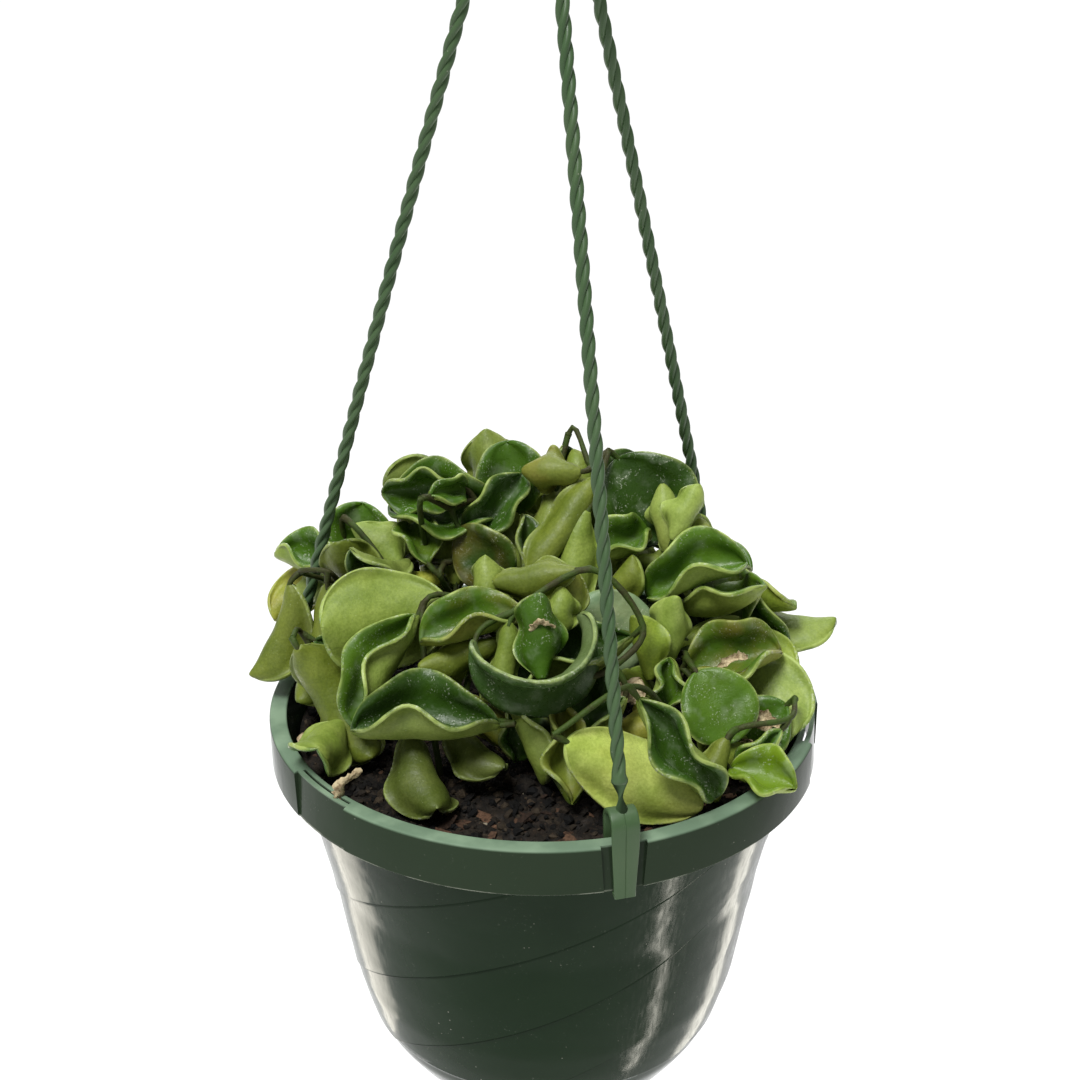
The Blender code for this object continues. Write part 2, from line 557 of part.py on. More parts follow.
def turned(axes, spin):
    """Turn each matrix by its small rotation vector and square it up again."""
    cross = np.zeros_like(axes)
    cross[:, 0, 1], cross[:, 0, 2] = -spin[:, 2], spin[:, 1]
    cross[:, 1, 0], cross[:, 1, 2] = spin[:, 2], -spin[:, 0]
    cross[:, 2, 0], cross[:, 2, 1] = -spin[:, 1], spin[:, 0]
    out = axes + cross @ axes
    x = out[:, :, 0] / np.linalg.norm(out[:, :, 0], axis=1)[:, None]
    z = out[:, :, 2] - (out[:, :, 2] * x).sum(axis=1)[:, None] * x
    z /= np.linalg.norm(z, axis=1)[:, None]
    return np.stack((x, np.cross(z, x), z), axis=2)


def material(name, colour, roughness):
    """A plain Principled BSDF material."""
    made = bpy.data.materials.new(name)
    made.use_nodes = True
    shader = made.node_tree.nodes["Principled BSDF"]
    shader.inputs["Base Color"].default_value = (*colour, 1.0)
    shader.inputs["Roughness"].default_value = roughness
    shader.inputs["Metallic"].default_value = 0.0
    return made


def add_object(name, points_mm, faces, surface, smooth=40.0):
    """A mesh object from points in mm, smooth except over edges sharper than the given angle."""
    mesh = bpy.data.meshes.new(name)
    mesh.from_pydata((np.asarray(points_mm, dtype=float) * MM).tolist(), [], faces)
    mesh.validate()
    built = bpy.data.objects.new(name, mesh)
    bpy.context.collection.objects.link(built)
    mesh.materials.append(surface)
    work = bmesh.new()
    work.from_mesh(mesh)
    bmesh.ops.triangulate(work, faces=[face for face in work.faces if len(face.verts) == 4])
    bmesh.ops.recalc_face_normals(work, faces=work.faces)
    work.to_mesh(mesh)
    work.free()
    mesh.shade_smooth()
    mesh.set_sharp_from_angle(angle=math.radians(smooth))
    return built


def boolean(target, operation, others, solver="MANIFOLD"):
    """Apply one Boolean of a collection of objects to the target, and remove those objects."""
    group = bpy.data.collections.new("operands")
    for other in others:
        group.objects.link(other)
    change = target.modifiers.new("boolean", "BOOLEAN")
    change.operation = operation
    change.operand_type = "COLLECTION"
    change.collection = group
    change.solver = solver
    change.use_self = solver == "EXACT"
    graph = bpy.context.evaluated_depsgraph_get()
    result = bpy.data.meshes.new_from_object(target.evaluated_get(graph))
    target.modifiers.remove(change)
    target.data = result
    for other in list(group.objects):
        bpy.data.objects.remove(other, do_unlink=True)
    bpy.data.collections.remove(group)


def keep_largest_body(target):
    """Drop loose scraps and sealed hollows, which leaves one closed body."""
    work = bmesh.new()
    work.from_mesh(target.data)
    bmesh.ops.triangulate(work, faces=work.faces)
    left = set(work.verts)
    shells = []
    while left:
        stack = [left.pop()]
        shell = set(stack)
        while stack:
            for edge in stack.pop().link_edges:
                for vert in edge.verts:
                    if vert in left:
                        left.discard(vert)
                        shell.add(vert)
                        stack.append(vert)
        shells.append(shell)
    largest = max(shells, key=len)
    loose = [vert for shell in shells if shell is not largest for vert in shell]
    bmesh.ops.delete(work, geom=loose, context="VERTS")
    work.to_mesh(target.data)
    work.free()


def thin_out(target, faces):
    """Collapse the slivers that joining leaves behind, down to about the given number of triangles."""
    change = target.modifiers.new("thin", "DECIMATE")
    change.ratio = min(1.0, faces / len(target.data.polygons))
    change.use_collapse_triangulate = True
    graph = bpy.context.evaluated_depsgraph_get()
    result = bpy.data.meshes.new_from_object(target.evaluated_get(graph))
    target.modifiers.remove(change)
    target.data = result
    target.data.shade_smooth()
    target.data.set_sharp_from_angle(angle=math.radians(45))


def ring_faces(rows, columns):
    """Faces between closed rings of points, each ring a row, with the last column joined to the first."""
    faces = []
    for r in range(rows - 1):
        for c in range(columns):
            d = (c + 1) % columns
            faces.append((r * columns + c, r * columns + d, (r + 1) * columns + d, (r + 1) * columns + c))
    return faces


def capped_rings(rings):
    """Points and faces of a closed solid from equal rings, with a flat cap at each end."""
    rows, columns = len(rings), len(rings[0])
    faces = ring_faces(rows, columns)
    faces.append(tuple(range(columns - 1, -1, -1)))
    faces.append(tuple((rows - 1) * columns + c for c in range(columns)))
    return np.concatenate(rings), faces


def level_ring(radius, angle, height):
    """Points at a radius and height, at angles that count from the front towards +X."""
    return np.stack((radius * np.sin(angle), -radius * np.cos(angle), np.full(len(angle), height)), axis=1)


def turned_solid(outline, columns):
    """A closed solid turned about Z from an outline that starts and ends near the axis, bottom first."""
    angle = np.linspace(0, 2 * math.pi, columns, endpoint=False)
    return capped_rings([level_ring(radius, angle, height) for radius, height in outline])


def swirl_columns():
    """Angle and sawtooth height of each column of the pot: a slow rise, then a drop at each swirl line."""
    parts = [i / SWIRL_STEPS for i in range(SWIRL_STEPS)] + [0.985]
    turns = np.array([i + part for i in range(SWIRLS) for part in parts]) / SWIRLS
    return turns * 2 * math.pi, np.array([part for _ in range(SWIRLS) for part in parts])


def pot_solid():
    """The pot's shell: out of the foot, up the swirled side, round the skirt and flange and down inside."""
    angles, teeth = swirl_columns()
    top = POT_HEIGHT
    under = top - FLANGE_DEPTH
    low = top - SKIRT_HEIGHT
    rim = [(FLANGE_INNER + 1.3, under), (SKIRT_INNER, under), (SKIRT_INNER, low), (RIM_RADIUS - 0.1, low),
           (RIM_RADIUS, top - 0.6), (RIM_RADIUS - 0.5, top), (FLANGE_INNER + 0.4, top),
           (FLANGE_INNER, top - 0.4)]
    side_radius, side_height = zip(*BODY_SIDE)
    heights = np.linspace(side_height[0], side_height[-1], SWIRL_ROWS + 1)
    side = list(zip(np.interp(heights, side_height, side_radius), heights))
    outline = BODY_FOOT + side + rim + INNER_SIDE + [(34.5, FLOOR)]
    rings = []
    for i, (radius, height) in enumerate(outline):
        row = i - len(BODY_FOOT)
        drop = side_height[-1] - max(height, side_height[0]) if row <= SWIRL_ROWS else 0.0
        angle = angles - math.radians(drop * SWIRL_DEGREES_PER_MM)
        reach = radius + (SWIRL_RELIEF * (teeth - 0.5) if 0 <= row < SWIRL_ROWS else 0.0)
        rings.append(level_ring(reach, angle, height))
    points, faces = capped_rings(rings)
    split = [part for a, b, c, d in faces[:-2] for part in ((a, b, d), (b, c, d))]
    return points, split + faces[-2:]


def arc_block(azimuth, half_top, half_bottom, inner_top, inner_bottom, outer, z_top, z_bottom, parts=2):
    """A curved cutter about the pot's axis, whose half angle and inner radius may differ top and bottom."""
    rings = []
    for part in np.linspace(-1, 1, parts + 1):
        corners = []
        for half, inner, z in ((half_bottom, inner_bottom, z_bottom), (half_top, inner_top, z_top)):
            a = math.radians(azimuth + part * half)
            pair = [(r * math.sin(a), -r * math.cos(a), z) for r in (inner, outer)]
            corners += pair if z == z_bottom else pair[::-1]
        rings.append(np.array(corners))
    return capped_rings(rings[::-1])


def cutter(name, shape, surface):
    """An object that only cuts others."""
    made = add_object(name, *shape, surface)
    made.hide_render = True
    made.display_type = "WIRE"
    return made


def make_pot(surface):
    """The pot with its recesses, slits and drain holes cut."""
    pot = add_object("pot", *pot_solid(), surface)
    top, low = POT_HEIGHT + 1.0, POT_HEIGHT - SKIRT_HEIGHT - 1.0
    tools = []
    for azimuths, halves in ((CLIP_AZIMUTHS, CLIP_RECESS_HALF), (SLIT_AZIMUTHS, SLIT_RECESS_HALF)):
        for azimuth in azimuths:
            shape = arc_block(azimuth, *halves, RECESS_TOP_RADIUS, RECESS_BOTTOM_RADIUS, RIM_RADIUS + 2,
                              top, low)
            tools.append(cutter("recess", shape, surface))
    for azimuth in SLIT_AZIMUTHS:
        half = SLIT_RECESS_HALF[0] - 0.4
        shape = arc_block(azimuth, half, half, SLIT_INNER, SLIT_INNER, SLIT_OUTER, top,
                          top - FLANGE_DEPTH - 3)
        tools.append(cutter("slit", shape, surface))
    for i in range(DRAIN_HOLES):
        a = 2 * math.pi * (i + 0.5) / DRAIN_HOLES
        points, faces = turned_solid([(DRAIN_RADIUS, -1.0), (DRAIN_RADIUS, FLOOR + 1.0)], 8)
        points = points + np.array((DRAIN_CIRCLE * math.sin(a), DRAIN_CIRCLE * math.cos(a), 0.0))
        tools.append(cutter("drain", (points, faces), surface))
    boolean(pot, "DIFFERENCE", tools)
    keep_largest_body(pot)
    return pot


def make_soil(vines, surface):
    """The soil that fills the pot, with a plain hole for each stem."""
    angle = np.linspace(0, 2 * math.pi, SOIL_COLUMNS, endpoint=False)
    rings = []
    for radius, height in SOIL_SIDE + [SOIL_EDGE]:
        rings.append(level_ring(radius, angle, height))
    for radius in SOIL_RINGS:
        ring = level_ring(radius, angle, 0.0)
        ring[:, 2] = soil_height(ring[:, 0], ring[:, 1])
        rings.append(ring)
    soil = add_object("soil", *capped_rings(rings), surface)
    holes = []
    for vine in vines:
        x, y = vine.root
        points, faces = turned_solid([(HOLE_RADIUS, -HOLE_DEPTH), (HOLE_RADIUS, 12.0)], 6)
        points = points + np.array((x, y, float(soil_height(x, y))))
        holes.append(cutter("stem_hole", (points, faces), surface))
    boolean(soil, "DIFFERENCE", holes)
    keep_largest_body(soil)
    return soil


def tube_rings(path, radii, sides):
    """Rings of a round tube along a path, each square to the path and turned as little as can be."""
    path = [Vector(p) for p in path]
    rings = []
    aside = None
    for i, point in enumerate(path):
        ahead = (path[min(i + 1, len(path) - 1)] - path[max(i - 1, 0)]).normalized()
        if aside is None:
            aside = ahead.orthogonal().normalized()
        aside = (aside - ahead * aside.dot(ahead)).normalized()
        other = ahead.cross(aside)
        ring = []
        for k in range(sides):
            a = 2 * math.pi * k / sides
            ring.append(point + (aside * math.cos(a) + other * math.sin(a)) * radii[i])
        rings.append(np.array(ring))
    return rings


def blade_solid(grid, stalk_end):
    """A leaf as a closed solid of few faces: a slim stalk, the blade in rows, and a narrow tip."""
    long = np.linalg.norm(grid[-1, BLADE_HALF] - grid[0, BLADE_HALF]) > LONG_BLADE
    rows = LONG_BLADE_ROWS if long else SHORT_BLADE_ROWS
    wide = np.ptp(grid[:, [0, -1]], axis=1).max() > WIDE_BLADE
    columns = WIDE_BLADE_COLUMNS if wide else NARROW_BLADE_COLUMNS
    across = np.gradient(grid, axis=1)
    along = np.gradient(grid, axis=0)
    normal = np.cross(along, across)
    normal /= np.linalg.norm(normal, axis=2, keepdims=True) + 1e-9
    pick = np.ix_(rows, columns)
    thick = np.full(len(columns), BLADE_THICKNESS / 2)
    thick[[0, -1]] = EDGE_THICKNESS / 2
    middle, offset = grid[pick], normal[pick] * thick[None, :, None]
    tip, tip_offset = grid[-1, BLADE_HALF], normal[rows[-1], BLADE_HALF] * EDGE_THICKNESS / 2
    base, base_normal = grid[0, BLADE_HALF], normal[1, BLADE_HALF]
    aside = np.cross(base_normal, base - stalk_end)
    aside *= STALK_HALF / np.linalg.norm(aside)
    points = []
    for sign in (1, -1):
        rise = sign * base_normal * STALK_HALF
        points += [stalk_end - aside + rise, stalk_end + aside + rise]
        points += [base - aside + rise, base + aside + rise]
        points += [*(middle + sign * offset).reshape(-1, 3), tip + sign * tip_offset]
    count, last = len(columns), len(rows) - 1
    half = len(points) // 2
    end = half - 1

    def at(row, column):
        return 4 + row * count + column

    middle_column = count // 2
    top = [(0, 1, 3), (0, 3, 2), (2, 3, at(0, middle_column))]
    top += [(2, at(0, c + 1), at(0, c)) for c in range(middle_column)]
    top += [(3, at(0, c + 1), at(0, c)) for c in range(middle_column, count - 1)]
    top += [(end, at(last, c), at(last, c + 1)) for c in range(count - 1)]
    for r in range(last):
        for c in range(count - 1):
            top += [(at(r, c), at(r, c + 1), at(r + 1, c + 1)), (at(r, c), at(r + 1, c + 1), at(r + 1, c))]
    left = [0, 2, *(at(r, 0) for r in range(last + 1)), end]
    right = [1, 3, *(at(r, count - 1) for r in range(last + 1)), end]
    faces = top + [tuple(v + half for v in face) for face in top] + [(0, 1, 1 + half, half)]
    for edge in (left, right):
        faces += [(p, q, q + half, p + half) for p, q in zip(edge, edge[1:])]
    return np.array(points), faces


def stem_runs(path):
    """Tubes along a stem's path, which is parted at every bend too sharp for one tube."""
    path = np.array(path)
    radii = np.linspace(*STEM_RADII, len(path))
    ahead = np.diff(path, axis=0)
    ahead /= np.linalg.norm(ahead, axis=1)[:, None]
    sharp = [i for i in range(1, len(ahead)) if ahead[i] @ ahead[i - 1] < SHARPEST_BEND]
    runs = []
    for first, last in zip([0, *sharp], [*sharp, len(path) - 1]):
        points = path[first:last + 1].copy()
        points[0] -= ahead[first] * (radii[first] * 0.6 if first else 0.0)
        points[-1] += ahead[last - 1] * radii[last] * 0.4
        runs.append(capped_rings(tube_rings(points, radii[first:last + 1], STEM_SIDES)))
    return runs


def make_vine(vine, grids, joints, surface):
    """One leafy stem: a tube from its soil hole past every stalk, joined with its leaves and thinned out."""
    foot = stem_foot(vine)
    path = [foot - (0.0, 0.0, HOLE_DEPTH + 1.0), foot, *joints]
    lift = np.array((0.0, 0.0, POT_HEIGHT))
    tubes = [add_object(vine.name, *shifted(run, lift), surface) for run in stem_runs(path)]
    blades = []
    for grid, joint, before in zip(grids, joints, [foot, *joints]):
        back = (before - joint) / np.linalg.norm(before - joint)
        inside = joint + back * STALK_SETBACK
        blades.append(add_object("blade", *shifted(blade_solid(grid, inside), lift), surface))
    stem = tubes[0]
    boolean(stem, "UNION", tubes[1:] + blades, "EXACT")
    keep_largest_body(stem)
    thin_out(stem, FACES_PER_LEAF * (len(vine.leaves) + 1))
    return stem


def shifted(shape, lift):
    """Points and faces with the points moved."""
    points, faces = shape
    return points + lift, faces


def clip_outline():
    """The clip seen from the side as radius and height: hook, strap, arch over the rim and inner leg."""
    x, z = CLIP_ARCH
    turns = [math.radians(d) for d in (0, 45, 90, 135, 180)]
    wide, narrow = CLIP_ARCH_RADIUS, CLIP_ARCH_RADIUS - CLIP_THICKNESS
    outer = [(x + wide * math.cos(a), z + wide * math.sin(a)) for a in turns]
    inner = [(x + narrow * math.cos(a), z + narrow * math.sin(a)) for a in turns[::-1]]
    low = -SKIRT_HEIGHT
    hook = [(80.9, low - 1.7), (83.6, low - 1.7)]
    leg = [(74.5, -3.4), (75.9, -3.4)]
    catch = [(82.3, low - 0.3), (80.9, low - 0.3)]
    return hook + outer + leg + inner + catch


def clip_solid(azimuth):
    """The clip's side view given its width, which narrows from the arch to the hook."""
    a = math.radians(azimuth)
    out = np.array((math.sin(a), -math.cos(a), 0.0))
    aside = np.array((math.cos(a), math.sin(a), 0.0))
    wide, narrow = CLIP_HALF_WIDTHS
    rings = []
    for side in (-1, 1):
        ring = []
        for radius, height in clip_outline():
            part = min(1.0, max(0.0, (height + SKIRT_HEIGHT) / SKIRT_HEIGHT))
            half = narrow + (wide - narrow) * part
            ring.append(out * radius + aside * side * half + np.array((0.0, 0.0, height)))
        rings.append(np.array(ring))
    return capped_rings(rings)


def rope_solid(azimuth):
    """One strand: a neck from the clip, the twisted rope, a plain top and a button over the hub."""
    a = math.radians(azimuth)
    aside = np.array((math.cos(a), math.sin(a), 0.0))
    axis = strand_point(azimuth, 100.0) - strand_point(azimuth, 20.0)
    axis /= np.linalg.norm(axis)
    out = np.cross(aside, axis)
    turn = 360.0 / ROPE_CORNERS / ROPE_STEPS
    count = round((ROPE_END - ROPE_START) / (ROPE_LOBE / ROPE_STEPS * abs(axis[2])))
    sections = [(8.6, NECK_RADIUS, 0.0), (ROPE_START - 0.8, NECK_RADIUS, 0.0)]
    for i in range(count + 1):
        sections.append((ROPE_START + (ROPE_END - ROPE_START) * i / count, ROPE_RADIUS, turn * i))
    last = turn * count
    top = HUB_HEIGHTS[1]
    for height, radius in ((ROPE_END + 2.0, TOP_RADIUS), (top + 1.3, TOP_RADIUS), (top + 1.7, BUTTON_RADIUS),
                           (top + 3.9, BUTTON_RADIUS), (top + 4.9, TOP_RADIUS)):
        sections.append((height, radius, last))
    rings = []
    for height, radius, twist in sections:
        centre = strand_point(azimuth, height)
        angles = np.radians(twist + 90.0 + np.arange(ROPE_CORNERS) * 360.0 / ROPE_CORNERS)
        rings.append(centre + radius * (np.cos(angles)[:, None] * aside + np.sin(angles)[:, None] * out))
    return capped_rings(rings)


def make_strand(name, azimuth, surface):
    """One moulded strand of the hanger with its clip on the rim."""
    lift = np.array((0.0, 0.0, POT_HEIGHT))
    strand = add_object(name, *shifted(rope_solid(azimuth), lift), surface)
    clip = add_object("clip", *shifted(clip_solid(azimuth), lift), surface)
    boolean(strand, "UNION", [clip])
    keep_largest_body(strand)
    return strand


def hook_path():
    """The hook's rod: up from the hub, aside, over the top and down to an open end."""
    top = HUB_HEIGHTS[1]
    points = [(0.0, 0.0, top - 2.0), (0.0, 0.0, top + 8.0), (-4.5, 0.0, HOOK_CENTRE - 17.0)]
    for degrees in range(225, -40, -20):
        a = math.radians(degrees)
        points.append((HOOK_BEND * math.cos(a), 0.0, HOOK_CENTRE + HOOK_BEND * math.sin(a)))
    return points


def make_hook(surface):
    """The hub that gathers the strands, and the hook on it."""
    low, high = HUB_HEIGHTS
    lift = np.array((0.0, 0.0, POT_HEIGHT))
    wide = HUB_RADIUS
    outline = [(wide - 1.0, low), (wide, low + 1.0), (wide, high - 0.8), (wide - 0.8, high)]
    hook = add_object("hook", *shifted(turned_solid(outline, 20), lift), surface)
    path = hook_path()
    rings = tube_rings(path, [HOOK_ROD] * len(path), 8)
    rod = add_object("rod", *shifted(capped_rings(rings), lift), surface)
    boolean(hook, "UNION", [rod])
    holes = []
    for azimuth in CLIP_AZIMUTHS:
        path = [strand_point(azimuth, height) for height in (low - 3.0, high + 3.0)]
        rings = tube_rings(path, [HUB_HOLE_RADIUS] * 2, 8)
        hole = cutter("strand_hole", shifted(capped_rings(rings), lift), surface)
        holes.append(hole)
    boolean(hook, "DIFFERENCE", holes)
    keep_largest_body(hook)
    return hook


def main():
    """Clear the scene and build every piece."""
    for old in list(bpy.data.objects):
        bpy.data.objects.remove(old, do_unlink=True)
    pot_green = material("pot_green", (0.028, 0.062, 0.038), 0.28)
    strand_green = material("strand_green", (0.062, 0.13, 0.06), 0.4)
    soil_brown = material("soil_brown", (0.02, 0.014, 0.009), 0.95)
    leaf_green = material("leaf_green", (0.09, 0.2, 0.03), 0.35)
    vines = portrait_vines() + back_vines()
    make_pot(pot_green)
    make_soil(vines, soil_brown)
    for name, azimuth in zip(("strand_front", "strand_right", "strand_left"), CLIP_AZIMUTHS):
        make_strand(name, azimuth, strand_green)
    make_hook(strand_green)
    grids, ends = Thicket(vines).settle()
    first = 0
    for vine in vines:
        last = first + len(vine.leaves)
        make_vine(vine, grids[first:last], ends[first:last], leaf_green)
        first = last


main()
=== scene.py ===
"""Looks of a hindu rope plant in its hanging pot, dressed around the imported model.

Metres, +Z up, the origin in the middle of the pot's underside, as in the CAD model. The tables are in
millimetres, and the heights of the plant and the hanger count from the rim's top.
"""
from __future__ import annotations

import logging
import math
from dataclasses import dataclass, field
from enum import Enum

import bmesh
import bpy
import numpy as np
from mathutils import Matrix, Vector

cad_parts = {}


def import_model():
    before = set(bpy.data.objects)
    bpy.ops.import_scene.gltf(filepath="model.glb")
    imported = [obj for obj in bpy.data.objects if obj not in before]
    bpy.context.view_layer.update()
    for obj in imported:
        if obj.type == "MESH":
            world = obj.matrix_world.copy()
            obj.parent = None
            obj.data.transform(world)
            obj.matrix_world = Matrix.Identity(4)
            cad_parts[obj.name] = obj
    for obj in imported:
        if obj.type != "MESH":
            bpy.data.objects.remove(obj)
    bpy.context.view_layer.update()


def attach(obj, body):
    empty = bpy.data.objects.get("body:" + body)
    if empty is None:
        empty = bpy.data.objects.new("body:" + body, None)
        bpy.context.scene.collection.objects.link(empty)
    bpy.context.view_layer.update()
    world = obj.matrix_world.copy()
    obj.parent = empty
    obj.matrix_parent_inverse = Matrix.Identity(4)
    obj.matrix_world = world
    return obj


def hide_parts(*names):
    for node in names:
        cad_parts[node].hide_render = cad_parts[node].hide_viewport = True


LOG = logging.getLogger("hanging_plant")
MM = 0.001
RIM_HEIGHT = 128.0
RIM_RADIUS = 82.5
FLANGE_INNER = 77.3
SKIRT_HEIGHT = 14.4
CLIP_AZIMUTHS = (15.0, 135.0, 255.0)
SLIT_AZIMUTHS = (-50.5, 79.0, 195.0)

Colour = tuple[float, float, float]
Outline = tuple[tuple[float, float], ...]


@dataclass
class Shell:
    """Points in millimetres, blocks of faces as rows of indices, and values kept on the points."""

    points: np.ndarray
    faces: list[np.ndarray]
    values: dict[str, np.ndarray] = field(default_factory=dict)

    def lifted(self, height: float = RIM_HEIGHT) -> Shell:
        """The same shell moved up, from heights over the rim to heights over the pot's underside."""
        return Shell(self.points + np.array((0.0, 0.0, height)), self.faces, self.values)


def joined(shells: list[Shell]) -> Shell:
    """Several shells as one, whose points keep the values that all of them have.

    Args:
        shells: The shells, in order.

    Returns:
        One shell with all their points and faces.
    """
    starts = np.cumsum([0] + [len(shell.points) for shell in shells])
    faces = [block + start for shell, start in zip(shells, starts) for block in shell.faces]
    keys = shells[0].values.keys()
    values = {key: np.concatenate([shell.values[key] for shell in shells]) for key in keys}
    return Shell(np.concatenate([shell.points for shell in shells]), faces, values)


def lattice(rows: int, columns: int, closed: bool = True) -> np.ndarray:
    """Quads between neighbouring rows of a grid of points.

    Args:
        rows: Number of rows of points.
        columns: Number of points in a row.
        closed: Whether the last column joins the first.

    Returns:
        One row of four indices for each quad.
    """
    r, c = np.meshgrid(np.arange(rows - 1), np.arange(columns if closed else columns - 1), indexing="ij")
    d = (c + 1) % columns
    low, high = r * columns, (r + 1) * columns
    return np.stack((low + c, low + d, high + d, high + c), axis=-1).reshape(-1, 4)


def capped(rings: np.ndarray) -> Shell:
    """A closed solid from equal rings of points, with a flat cap at each end.

    Args:
        rings: Points by ring and by place in the ring, in millimetres.

    Returns:
        The solid's shell.
    """
    rows, columns = rings.shape[:2]
    last = (rows - 1) * columns
    caps = [np.arange(columns)[::-1][None], last + np.arange(columns)[None]]
    return Shell(rings.reshape(-1, 3), [lattice(rows, columns), *caps])


def mesh_object(name: str, shell: Shell, smooth: float = 50.0, merge: float = 0.0) -> bpy.types.Object:
    """A mesh object from a shell, shaded smooth but for sharp edges.

    Args:
        name: The object's name.
        shell: Its points, faces and values.
        smooth: Edges that turn by more degrees than this stay sharp.
        merge: Points nearer than this many millimetres become one.

    Returns:
        The object, linked to the scene and with its faces outwards.
    """
    mesh = bpy.data.meshes.new(name)
    faces = [tuple(face) for block in shell.faces for face in block.tolist()]
    mesh.from_pydata((shell.points * MM).tolist(), [], faces)
    for key, value in shell.values.items():
        plain = value.ndim == 1
        layer = mesh.attributes.new(key, "FLOAT" if plain else "FLOAT_COLOR", "POINT")
        layer.data.foreach_set("value" if plain else "color", value.astype(np.float32).ravel())
    made = bpy.data.objects.new(name, mesh)
    bpy.context.scene.collection.objects.link(made)
    work = bmesh.new()
    work.from_mesh(mesh)
    if merge:
        bmesh.ops.remove_doubles(work, verts=work.verts, dist=merge * MM)
        bmesh.ops.dissolve_degenerate(work, edges=work.edges, dist=0.5 * merge * MM)
    bmesh.ops.recalc_face_normals(work, faces=work.faces)
    work.to_mesh(mesh)
    work.free()
    mesh.shade_smooth()
    mesh.set_sharp_from_angle(angle=math.radians(smooth))
    return made


def apply_modifiers(target: bpy.types.Object) -> None:
    """Bake the live modifiers of an object into its mesh."""
    graph = bpy.context.evaluated_depsgraph_get()
    result = bpy.data.meshes.new_from_object(target.evaluated_get(graph))
    target.modifiers.clear()
    target.data = result


def cut(target: bpy.types.Object, tools: list[bpy.types.Object]) -> None:
    """Cut every tool out of the target and remove the tools.

    Args:
        target: The object that is cut.
        tools: Closed objects, which are deleted afterwards.
    """
    group = bpy.data.collections.new("tools")
    for tool in tools:
        group.objects.link(tool)
    change = target.modifiers.new("cut", "BOOLEAN")
    change.operation = "DIFFERENCE"
    change.operand_type = "COLLECTION"
    change.collection = group
    change.solver = "EXACT"
    apply_modifiers(target)
    for tool in tools:
        bpy.data.objects.remove(tool, do_unlink=True)
    bpy.data.collections.remove(group)


def circle_point(azimuth: float, radius: float, height: float) -> np.ndarray:
    """The point at an azimuth, which counts from the front towards +X, a radius and a height."""
    a = math.radians(azimuth)
    return np.array((radius * math.sin(a), -radius * math.cos(a), height))


def turned(outline: list[tuple[float, float]], columns: int) -> Shell:
    """A solid turned about Z: each outline point's radius is carried round the axis at its height.

    Args:
        outline: Radius and height pairs, the lowest first.
        columns: Number of points round the axis.

    Returns:
        The closed shell.
    """
    angle = np.linspace(0, 2 * math.pi, columns, endpoint=False)
    radius, height = np.array(outline).T[:, :, None]
    rings = np.stack((radius * np.sin(angle), -radius * np.cos(angle), height + 0 * angle), axis=-1)
    return capped(rings)


def smooth_path(points: np.ndarray, steps: int) -> np.ndarray:
    """A curve through every point: on each stretch a cubic that leaves along the neighbours' chord.

    Args:
        points: The points that the curve passes.
        steps: Number of pieces between two of them.

    Returns:
        Points along the curve.
    """
    padded = np.vstack((2 * points[0] - points[1], points, 2 * points[-1] - points[-2]))
    p0, p1, p2, p3 = (padded[i:len(padded) - 3 + i, None] for i in range(4))
    t = np.linspace(0, 1, steps, endpoint=False)[None, :, None]
    cubic = 0.5 * (2 * p1 + (p2 - p0) * t + (2 * p0 - 5 * p1 + 4 * p2 - p3) * t ** 2
                   + (3 * p1 - p0 - 3 * p2 + p3) * t ** 3)
    return np.vstack((cubic.reshape(-1, points.shape[1]), points[-1]))


def path_frames(path: np.ndarray) -> tuple[np.ndarray, np.ndarray]:
    """Two directions square to a path at each of its points, turned as little as can be along it.

    Args:
        path: Points along the path.

    Returns:
        The first and the second direction at each point.
    """
    ahead = np.gradient(path, axis=0)
    ahead /= np.linalg.norm(ahead, axis=1)[:, None]
    first = Vector(ahead[0]).orthogonal().normalized()
    aside = []
    for direction in ahead:
        along = Vector(direction)
        first = (first - along * first.dot(along)).normalized()
        aside.append(tuple(first))
    aside = np.array(aside)
    return aside, np.cross(ahead, aside)


def tube(path: np.ndarray, radius: np.ndarray, sides: int) -> Shell:
    """A round tube: a circle of the given radius carried along the path, square to it.

    Args:
        path: Points along the middle.
        radius: Radius at each point.
        sides: Number of points round it.

    Returns:
        The closed shell.
    """
    aside, other = path_frames(path)
    angle = np.linspace(0, 2 * math.pi, sides, endpoint=False)[None, :, None]
    circle = np.cos(angle) * aside[:, None] + np.sin(angle) * other[:, None]
    return capped(path[:, None] + radius[:, None, None] * circle)


def waves(points: np.ndarray, wavelength: float, seed: int) -> np.ndarray:
    """A smooth random field: the sum of plane waves of about one wavelength and of random direction.

    Args:
        points: Where to read it, in millimetres, with two or three coordinates.
        wavelength: Typical distance between crests in millimetres.
        seed: Number that fixes the directions and phases.

    Returns:
        Values that are mostly between -1 and 1.
    """
    draw = np.random.default_rng(seed)
    count = 10
    direction = draw.normal(size=(count, points.shape[-1]))
    direction /= np.linalg.norm(direction, axis=1)[:, None]
    number = 2 * math.pi / (wavelength * draw.uniform(0.7, 1.4, count))
    phase = draw.uniform(0, 2 * math.pi, count)
    return np.sin((points @ direction.T) * number + phase).sum(axis=-1) * math.sqrt(2 / count) * 0.6


